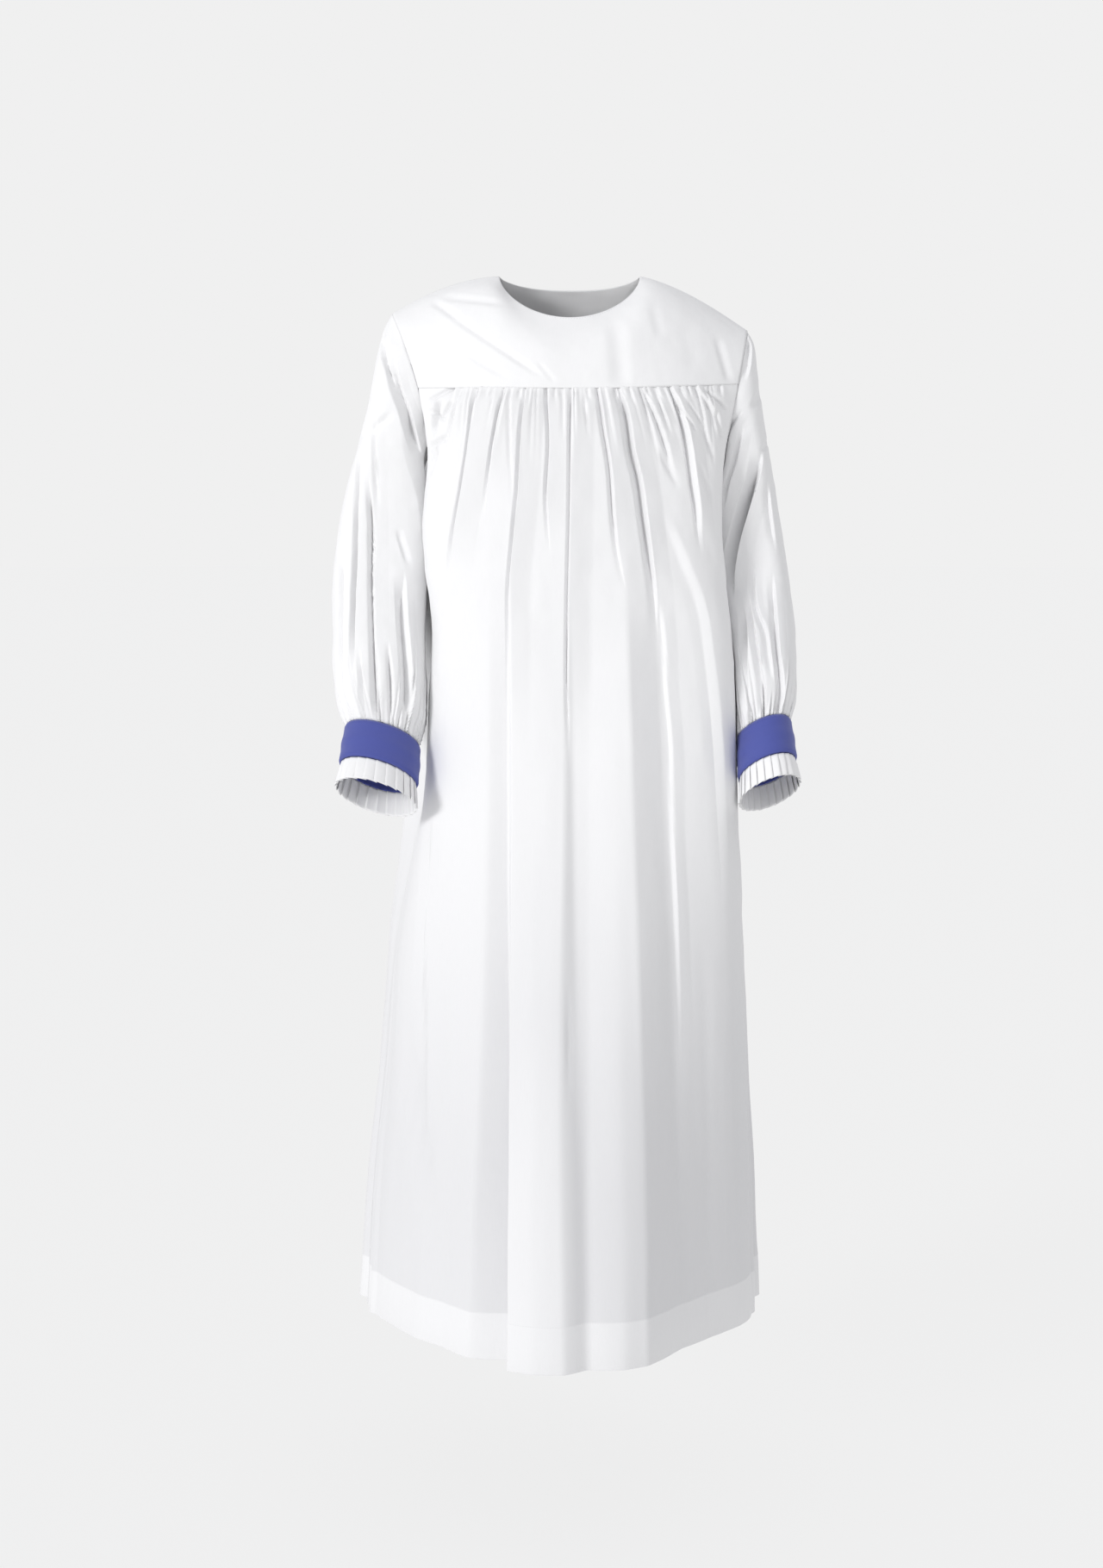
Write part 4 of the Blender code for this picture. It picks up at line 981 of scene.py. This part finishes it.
LEFT_SLEEVE = [
    Ring(0.213, -0.064, 0.181, -0.235, 0.000, 0.067, 0.070, 0),
    Ring(0.221, -0.084, 0.186, -0.238, 0.000, 0.067, 0.070, 0),
    Ring(0.226, -0.122, 0.192, -0.243, 0.001, 0.066, 0.070, 0),
    Ring(0.233, -0.168, 0.199, -0.252, 0.003, 0.065, 0.069, 1),
    Ring(0.241, -0.212, 0.204, -0.270, 0.007, 0.064, 0.068, 2),
    Ring(0.249, -0.258, 0.205, -0.298, 0.012, 0.063, 0.068, 4),
    Ring(0.258, -0.312, 0.203, -0.334, 0.013, 0.064, 0.070, 8),
    Ring(0.267, -0.372, 0.200, -0.380, 0.008, 0.068, 0.073, 14),
    Ring(0.272, -0.425, 0.200, -0.428, -0.014, 0.068, 0.074, 20),
    Ring(0.271, -0.466, 0.200, -0.474, -0.040, 0.062, 0.067, 25),
    Ring(0.266, -0.500, 0.200, -0.514, -0.066, 0.052, 0.054, 28),
    Ring(0.261, -0.5300, 0.1985, -0.5500, -0.085, 0.044, 0.044, 28),
]
ARMHOLE_CURVE_END = 0.25
BOXY = 0.74
BOXY_BLENDS = (0.20, 0.15)
SLEEVE_COLUMNS = 290
SLEEVE_ROWS = 160
SLEEVE_ROW_PACE = 1.25
SLEEVE_WIDTH = 0.56

# Creases and drag lines of the sleeves' fronts, with (x, z) points as seen from the front. The
# creases of their hidden backs have (degrees round the sleeve, minus the share of the way down)
RIGHT_SLEEVE_CREASES = metres([
    Crease(((-221.5, -68), (-218.3, -98), (-212.1, -117), (-205, -136)), 12, 6, 2, 10, 1.5, 30, 10),
    Crease(
        ((-209, -95), (-199.7, -136), (-189.4, -164), (-182.2, -188), (-173, -218)),
        17, 14, 2, 10, 2, 30, 40,
    ),
    Crease(
        ((-233.7, -100), (-234.7, -134), (-241.9, -160), (-247.1, -181), (-249.1, -201)),
        12, 5, 1, 12, 1.5, 20, 30,
    ),
    Crease(
        ((-249.1, -190), (-250.2, -227), (-252.2, -272), (-253.3, -328), (-254, -400), (-252.8, -480)),
        12, 6, 1.4, 18, 1.5, 80, 20,
    ),
    Crease(
        ((-238.8, -240), (-234.7, -298), (-233.7, -369), (-230.8, -424), (-227.4, -481),
         (-224.6, -525)),
        12, 6, 1.6, 18, 1.5, 30, 50,
    ),
    Crease(
        ((-274.8, -310), (-269.7, -366), (-268.7, -424), (-265, -481), (-259, -525)),
        10, 6, 1, 14, 1.5, 30, 40,
    ),
    Crease(
        ((-197.6, -350), (-193.1, -412), (-190.3, -449), (-189.5, -491), (-193.2, -525)),
        12, 12, 2, 10, 2, 30, 50,
    ),
    Crease(((-214, -430), (-210, -470), (-208, -525)), 8, 5, 2, 14, 1.5, 20, 40),
    Crease(((-246, -440), (-242, -480), (-238, -525)), 8, 5, 2, 10, 1.5, 20, 40),
    Crease(
        ((-173, -158), (-165, -219), (-153, -259), (-147, -311), (-140, -420)),
        10, 30, 0, 10, 2, 100, 40,
    ),
    Crease(((-231.6, -165), (-230, -230), (-227, -290)), 4, 5, 1, 10, 2, 60, 30),
])
SLEEVE_DRAGS = metres([
    Drag((-247, -192), (-208, -164), 8, 5),
    Drag((-205, -300), (-190, -345), 6, 3),
    Drag((236, -120), (214, -165), 8, 4),
    Drag((244, -190), (226, -212), 5, 3),
])
LEFT_SLEEVE_CREASES = metres([
    Crease(((199.6, -65), (209.9, -79), (210.9, -104), (204.7, -129)), 4, 8, 2, 10, 4, 20, 10),
    Crease(((204.7, -160), (190.3, -181), (184.1, -201), (178.9, -227)), 5, 6, 2, 10, 3, 20, 20),
    Crease(((204.7, -180), (196.5, -220), (188.2, -249), (184, -275)), 4, 5, 2, 10, 2, 20, 20),
    Crease(
        ((228.2, -205), (222.5, -240), (211.8, -276), (202.8, -311), (196, -345.7), (193, -385)),
        22, 14, 4, 18, 3, 60, 50,
    ),
    Crease(
        ((206, -386), (208.5, -424), (208.8, -463), (210, -500), (215.2, -527)),
        8, 8, 2, 12, 2.5, 20, 50,
    ),
    Crease(
        ((210.9, -371), (216.4, -412), (223.3, -459), (226.5, -480), (227.6, -525)),
        8, 7, 3, 10, 2.5, 20, 50,
    ),
    Crease(
        ((219.1, -340), (221.9, -397), (230.6, -420), (234.7, -454), (236, -481)),
        5, 7, 3, 8, 3, 30, 40,
    ),
    Crease(
        ((241.6, -350), (244, -412), (245.1, -443), (248, -481), (244.7, -525)),
        8, 8, 2, 10, 2.5, 20, 50,
    ),
    Crease(((234, -240), (238, -280), (246, -330)), 4, 8, 2, 12, 3, 40, 30),
])
BACK_SLEEVE_CREASES = [
    Crease(((214, -0.06), (218, -0.40), (224, -0.98)), 0.007, 8, 0.004, 22, 3, 0.25, 0.2),
    Crease(((246, -0.16), (250, -0.50), (252, -1.00)), 0.005, 7, 0.003, 18, 3, 0.20, 0.2),
    Crease(((276, -0.05), (274, -0.50), (276, -0.98)), 0.007, 8, 0.004, 22, 3, 0.25, 0.2),
    Crease(((304, -0.25), (300, -0.60), (298, -1.00)), 0.005, 7, 0.003, 16, 3, 0.20, 0.2),
    Crease(((330, -0.10), (328, -0.55), (330, -0.98)), 0.006, 8, 0.004, 20, 3, 0.25, 0.2),
]
WRIST_GATHERS = 40
WRIST_GATHER_DEPTH = (0.0020, 0.0050)
WRIST_GATHER_LENGTH = (0.07, 0.24)
WRIST_GATHER_WIDTH = 3.0
WRIST_GATHER_AFTER = 1.3
WRIST_GATHER_JITTER = 0.6
BLOUSE = 0.0045
BLOUSE_FROM, BLOUSE_GROWTH = 0.76, 0.16
BLOUSE_TO, BLOUSE_FALL = 0.93, 0.07
SLEEVE_CRUMPLE = (0.05, 0.0013)
SLEEVE_ROOT = 0.0006
SLEEVE_ROOT_GROWTH = 0.02
FACING_FROM, FACING_BLEND = 0.05, 0.25

# How far a sleeve's front swells towards the body at each of its rings, so that the sleeve lies
# close beside the body, and between which degrees round the sleeve
RIGHT_SWELL = (0, 0.006, 0.012, 0.018, 0.024, 0.027, 0.027, 0.022, 0.013, 0.006, 0.002, 0)
LEFT_SWELL = (0, 0.006, 0.014, 0.025, 0.033, 0.034, 0.030, 0.024, 0.018, 0.011, 0.004, 0)
SWELL_FROM, SWELL_TO = 80, 200
SWELL_CURVE = 1.5


def sleeve_ring(rings, arm, share, angle):
    """A point of a sleeve's smooth form, and the middle of its ring. share runs from 0 at
    the armhole to 1 at the wristband."""
    knots = np.linspace(0, 1, len(rings))
    at = measures_at(share, knots, rings)
    a = np.radians(angle)
    tip = np.radians(at["tip"])
    power = between(1, BOXY, window(share, *BOXY_BLENDS))
    round_x = np.sign(np.cos(a)) * np.abs(np.cos(a)) ** power
    round_y = np.sign(np.sin(a)) * np.abs(np.sin(a)) ** power
    reach = round_y * np.where(np.sin(a) > 0, at["front"], at["back"])
    mid_x = (at["out_x"] + at["in_x"]) / 2
    mid_z = (at["out_z"] + at["in_z"]) / 2
    curve = arm.side * arm.curve * (1 - smooth_step(share / ARMHOLE_CURVE_END))
    swell = smooth_curve(share, knots, RIGHT_SWELL if arm.side < 0 else LEFT_SWELL)
    around = np.clip((angle - SWELL_FROM) / (SWELL_TO - SWELL_FROM), 0, 1)
    swell = swell * np.sin(pi * around) ** SWELL_CURVE
    x = mid_x + round_x * (at["out_x"] - at["in_x"]) / 2 - curve * np.sin(a) ** 2 - arm.side * swell
    y = at["mid_y"] - reach * np.cos(tip)
    z = mid_z + round_x * (at["out_z"] - at["in_z"]) / 2 + reach * np.sin(tip)
    middle = np.stack(np.broadcast_arrays(mid_x, at["mid_y"], mid_z), axis=-1)
    return np.stack([x, y, z], axis=-1), middle


# The body as it is built above. The sleeves hang beside it without touching it, with a gap
# that grows from the armhole's seam down
SLEEVE_CLEAR = 0.0016
CLEAR_FROM, CLEAR_GROWTH = 0.05, 0.08
BODY_REACH = 0.03
verts, quads = [], []
for grid in (front_cloth, back_cloth):
    i, j = np.meshgrid(np.arange(grid.shape[1] - 1), np.arange(grid.shape[0] - 1))
    corner = len(verts) + j * grid.shape[1] + i
    quad = [corner, corner + 1, corner + grid.shape[1] + 1, corner + grid.shape[1]]
    quads += np.stack(quad, axis=-1).reshape(-1, 4).tolist()
    verts += grid.reshape(-1, 3).tolist()
body = BVHTree.FromPolygons(verts, quads)


def kept_clear(points, gaps):
    """Points of a sleeve or a wristband, moved off the body to at least their gaps."""
    flat = points.reshape(-1, 3).copy()
    for k in np.flatnonzero(gaps > 0):
        point = Vector(flat[k])
        near, away, _, _ = body.find_nearest(point, BODY_REACH)
        if near is None:
            continue
        if away.x * near.x + away.y * near.y < 0:
            away = -away
        gap, reach = gaps.flat[k], (point - near).dot(away)
        if reach < gap and (point - near - reach * away).length < SLEEVE_CLEAR:
            flat[k] = near + away * gap
    return flat.reshape(points.shape)


def wrist_gathers(angle, share, seed):
    """How far the gathers above the wristband move the cloth out."""
    total = np.zeros_like(angle)
    for k in range(WRIST_GATHERS):
        place, deep, long = (0.5 + 0.5 * sin(beat * (k + seed)) for beat in GATHER_BEATS[:3])
        at = 360 * (k + WRIST_GATHER_JITTER * place) / WRIST_GATHERS
        depth = between(*WRIST_GATHER_DEPTH, deep)
        length = between(*WRIST_GATHER_LENGTH, long**2)
        off = (angle - at + 180) % 360 - 180
        rise, after = GATHER_RISE * depth, WRIST_GATHER_AFTER * WRIST_GATHER_WIDTH
        edge = GATHER_EDGE * WRIST_GATHER_WIDTH
        fold = pressed_fold(off, depth, WRIST_GATHER_WIDTH, rise, after, edge)
        total += fold * smooth_step((share - 1 + length) / length)
    return total


def sleeve(name, node, rings, arm, creases, seed, layers_and_painted_light):
    """A full sleeve from the armhole to the gathers at the wristband. The share of it that
    shows as double, from 0 to 1, is painted light and shade, since a sleeve is single cloth."""
    places = np.linspace(0, 360, PLACES)
    shares = np.linspace(0, 1, SLEEVE_ROWS)[:, None] ** SLEEVE_ROW_PACE
    points, middle = sleeve_ring(rings, arm, shares, places[None])
    near = 0
    for crease in creases:
        off, shown = crease_line(crease, points[..., 0], points[..., 2])
        near = near + (places < 180) * np.exp(-((off / (crease.before + crease.edge)) ** 2))
    angle = 360 * crowded(near, SLEEVE_COLUMNS + 1)
    across = angle / 360 * SLEEVE_WIDTH
    angle = angle[:, :-1]
    share = np.broadcast_to(shares, angle.shape)
    points, middle = sleeve_ring(rings, arm, share, angle)
    out = points - middle
    out = out / np.linalg.norm(out, axis=-1, keepdims=True)
    facing = smooth_step((np.sin(np.radians(angle)) - FACING_FROM) / FACING_BLEND)
    behind = smooth_step((-np.sin(np.radians(angle)) - FACING_FROM) / FACING_BLEND)
    height = facing * crease_height(creases, points[..., 0], points[..., 2])
    height -= facing * drag_depth(SLEEVE_DRAGS, points[..., 0], points[..., 2])
    height += behind * crease_height(BACK_SLEEVE_CREASES, angle, -share)
    height += wrist_gathers(angle, share, seed)
    blouse = smooth_step((share - BLOUSE_FROM) / BLOUSE_GROWTH)
    height += BLOUSE * blouse * (1 - smooth_step((share - BLOUSE_TO) / BLOUSE_FALL))
    height += crumple(points, *SLEEVE_CRUMPLE, seed)
    grown = smooth_step(share / SLEEVE_ROOT_GROWTH)
    height = height * grown - SLEEVE_ROOT * (1 - grown)
    gaps = SLEEVE_CLEAR * smooth_step((share - CLEAR_FROM) / CLEAR_GROWTH)
    outer = kept_clear(points + out * height[..., None], gaps)
    outer[0, :, 0] += arm.side * SEAM_GAP
    tucked = outer[0] - TUCK_IN * out[0] - arm.side * np.array([TUCK_UP, 0, 0])
    grid = np.concatenate([tucked[None], outer])
    across = np.concatenate([across[:1], across])
    return cloth_piece(
        name, node, grid, across, arm.side < 0, CLOTH, layers_and_painted_light, cotton
    )


# The right sleeve faces the light and is painted fully double white as painted light; the left, away
# from it, gets a quarter less, as painted shade
right_sleeve = sleeve(
    "right_sleeve_cloth", "sleeve_right", RIGHT_SLEEVE, RIGHT_ARM, RIGHT_SLEEVE_CREASES,
    seed=13, layers_and_painted_light=1.0,
)
left_sleeve = sleeve(
    "left_sleeve_cloth", "sleeve_left", LEFT_SLEEVE, LEFT_ARM, LEFT_SLEEVE_CREASES,
    seed=17, layers_and_painted_light=0.75,
)


# The wristbands: straight bands of blue cloth, doubled over, closed round the sleeve's gathers
# Each stands stiff and smooth, a little wider at its lower edge

CUFF_COLUMNS = 160
CUFF_HEIGHT = 0.050
CUFF_WIDTH = 0.29
CUFF_EASE = 0.0018
CUFF_FLARE = 0.0020
CUFF_CLOTH = 0.0020
CUFF_ROWS = 15
CUFF_WAVE, CUFF_HALF_WAVES = 0.0003, 5
CUFF_EDGE = 0.0008
CUFF_EDGE_SHARE = 0.04
WRIST_SPREAD = 0.07
BLUE_THREAD = 0.0005
BLUE_CLOTH = (0.072, 0.091, 0.340)
blue, nodes, links, shader = new_material(
    "blue_cloth", BLUE_CLOTH, roughness=0.72, sheen=0.20
)
woven(nodes, links, shader, BLUE_THREAD, strength=0.35, slant=radians(45))


def wrist_grid(rings, turn, starts, swells):
    """Rings round the wrist, at distances below the wristband's upper edge, and their outward
    directions. turn is how far round each column is, from 0 to 1, and swells how far each ring
    or each of its points stands out."""
    last = rings[-1]
    tip = radians(last.tip)
    a = 2 * pi * turn
    middle = np.array([(last.out_x + last.in_x) / 2, last.mid_y, (last.out_z + last.in_z) / 2])
    across = np.array([(last.out_x - last.in_x) / 2, 0, (last.out_z - last.in_z) / 2])
    forward = last.front * np.array([0, -cos(tip), sin(tip)])
    axis = np.array([np.sign(last.out_x) * WRIST_SPREAD, -sin(tip), -cos(tip)])
    ring = np.cos(a)[:, None] * across + np.sin(a)[:, None] * forward
    out = ring / np.linalg.norm(ring, axis=1, keepdims=True)
    rows = []
    for start, swell in zip(starts, swells):
        rows.append(middle + axis * start + ring + out * np.asarray(swell)[..., None])
    return np.array(rows), out


def cuff(name, node, rings):
    """A wristband: a flat band of double cloth with rounded folds at both edges."""
    share = np.linspace(0, 1, CUFF_ROWS)
    swell = CUFF_EASE + CUFF_FLARE * smooth_step(share * 2)
    swell = swell + CUFF_WAVE * np.sin(CUFF_HALF_WAVES * pi * share)
    to_edge = np.minimum(share, 1 - share) / CUFF_EDGE_SHARE
    edge = CUFF_EDGE * (1 - np.clip(to_edge, 0, 1)) ** 2
    starts = between(SEAM_GAP, CUFF_HEIGHT, share)
    turn = np.arange(CUFF_COLUMNS) / CUFF_COLUMNS
    outer, out = wrist_grid(rings, turn, starts, swell - edge)
    outer = kept_clear(outer, np.full(outer.shape[:2], SLEEVE_CLEAR))
    across = np.tile(np.linspace(0, CUFF_WIDTH, CUFF_COLUMNS + 1), (CUFF_ROWS, 1))
    outs = np.concatenate([out, out[:1]])
    for edge_name, row in (("upper", 1), ("lower", CUFF_ROWS - 2)):
        ring = np.concatenate([outer[row], outer[row, :1]])
        stitches(f"{name}_{edge_name}_stitches", ring, outs, blue, "blue_cloth")
    flip = rings[0].out_x < 0
    return cloth_piece(name, node, outer, across, flip, CUFF_CLOTH, 1.0, blue)


right_cuff = cuff("right_wristband", "cuff_right", RIGHT_SLEEVE)
left_cuff = cuff("left_wristband", "cuff_left", LEFT_SLEEVE)


# The frills: narrow strips of white cotton laid in sharp knife pleats, each lapping the next
# Each is sewn inside the wristband's lower edge and hangs straight down from it

FRILL_PLEATS = 24
FRILL_ROWS = 14
FRILL_HEIGHT = 0.029
FRILL_WIDTH = 0.52
FRILL_FLARE = 0.0035
FRILL_CURVE = 0.2
FRILL_CLOTH = 0.0005
FRILL_INSET = 0.0010
PLEAT_DEPTH = 0.0036
PLEAT_AT_SEAM = 0.45
PLEAT_GROWTH = 0.4
PLEAT_UNEVEN = 0.35
PLEAT_BEAT = 2.7
PLEAT_LINE = np.array([
    (0.00, 0.90), (0.03, 1.00), (0.25, 0.92), (0.50, 0.78), (0.80, 0.58), (1.10, 0.30),
    (1.28, 0.08), (1.30, 0.02), (1.28, -0.02), (1.15, 0.30), (1.02, 0.72),
])


def frill(name, node, rings):
    """A knife-pleated frill that hangs from the wristband's lower edge."""
    pleat = np.arange(FRILL_PLEATS)[:, None]
    turn = (pleat + PLEAT_LINE[:, 0]).ravel() / FRILL_PLEATS
    lift = np.tile(PLEAT_LINE[:, 1], FRILL_PLEATS) - 0.5
    uneven = np.repeat(PLEAT_UNEVEN * np.sin(PLEAT_BEAT * pleat), len(PLEAT_LINE))
    share = np.linspace(0, 1, FRILL_ROWS)[:, None]
    depth = PLEAT_DEPTH * between(PLEAT_AT_SEAM, 1, smooth_step(share / PLEAT_GROWTH))
    flare = FRILL_FLARE * share * (1 - FRILL_CURVE + FRILL_CURVE * share)
    swells = CUFF_FLARE - FRILL_INSET + flare + depth * (1 + uneven * share) * lift
    starts = CUFF_HEIGHT + SEAM_GAP + FRILL_HEIGHT * share
    outer, _ = wrist_grid(rings, turn, starts, swells)
    across = np.tile(np.linspace(0, FRILL_WIDTH, len(turn) + 1), (FRILL_ROWS, 1))
    flip = rings[0].out_x < 0
    return cloth_piece(name, node, outer, across, flip, FRILL_CLOTH, 1.0, cotton)


right_frill = frill("right_frill_cloth", "frill_right", RIGHT_SLEEVE)
left_frill = frill("left_frill_cloth", "frill_left", LEFT_SLEEVE)


# The studio: a wide pale floor and backdrop, one large soft light from the upper left, and
# even light from all round. The camera stands where the photograph was taken from

FLOOR_Z = -1.49
PALE = 0.871
AMBIENT = (0.704, 0.706, 0.722)
bpy.ops.object.select_all(action="DESELECT")
bpy.ops.mesh.primitive_circle_add(vertices=96, radius=60, fill_type="NGON", location=(0, 0, FLOOR_Z))
floor = bpy.context.object
floor.name = "floor"
paper, nodes, links, shader = new_material(
    "pale_floor", (0.10, 0.10, 0.10), roughness=1.0, sheen=0
)
shader.inputs["Specular IOR Level"].default_value = 0.0
shader.inputs["Emission Color"].default_value = (1, 1, 1, 1)
shader.inputs["Emission Strength"].default_value = 0.785
floor.data.materials.append(paper)

world = bpy.data.worlds.new("studio")
world.use_nodes = True
nodes, links = world.node_tree.nodes, world.node_tree.links
nodes["Background"].inputs["Color"].default_value = (*AMBIENT, 1)
backdrop = nodes.new("ShaderNodeBackground")
backdrop.inputs["Color"].default_value = (PALE, PALE, PALE, 1)
ray = nodes.new("ShaderNodeLightPath")
either = nodes.new("ShaderNodeMixShader")
links.new(ray.outputs["Is Camera Ray"], either.inputs["Fac"])
links.new(nodes["Background"].outputs["Background"], either.inputs[1])
links.new(backdrop.outputs["Background"], either.inputs[2])
links.new(either.outputs["Shader"], nodes["World Output"].inputs["Surface"])
bpy.context.scene.world = world

key = bpy.data.lights.new("key", "SUN")
key.energy = 1.48
key.angle = radians(14)
key_light = bpy.data.objects.new("key", key)
key_light.rotation_euler = Vector((-0.75, -0.80, 0.30)).to_track_quat("Z", "Y").to_euler()
bpy.context.collection.objects.link(key_light)

camera = bpy.data.cameras.new("camera")
camera.sensor_fit = "VERTICAL"
camera.sensor_height = 36
camera.lens = 58.4
camera.clip_end = 200
view = bpy.data.objects.new("camera", camera)
view.location = (-0.02172, -3.1, -0.28694)
view.rotation_euler = (pi / 2 - 0.104617, 0, 0)
bpy.context.collection.objects.link(view)
bpy.context.scene.camera = view
bpy.context.scene.view_settings.view_transform = "Standard"
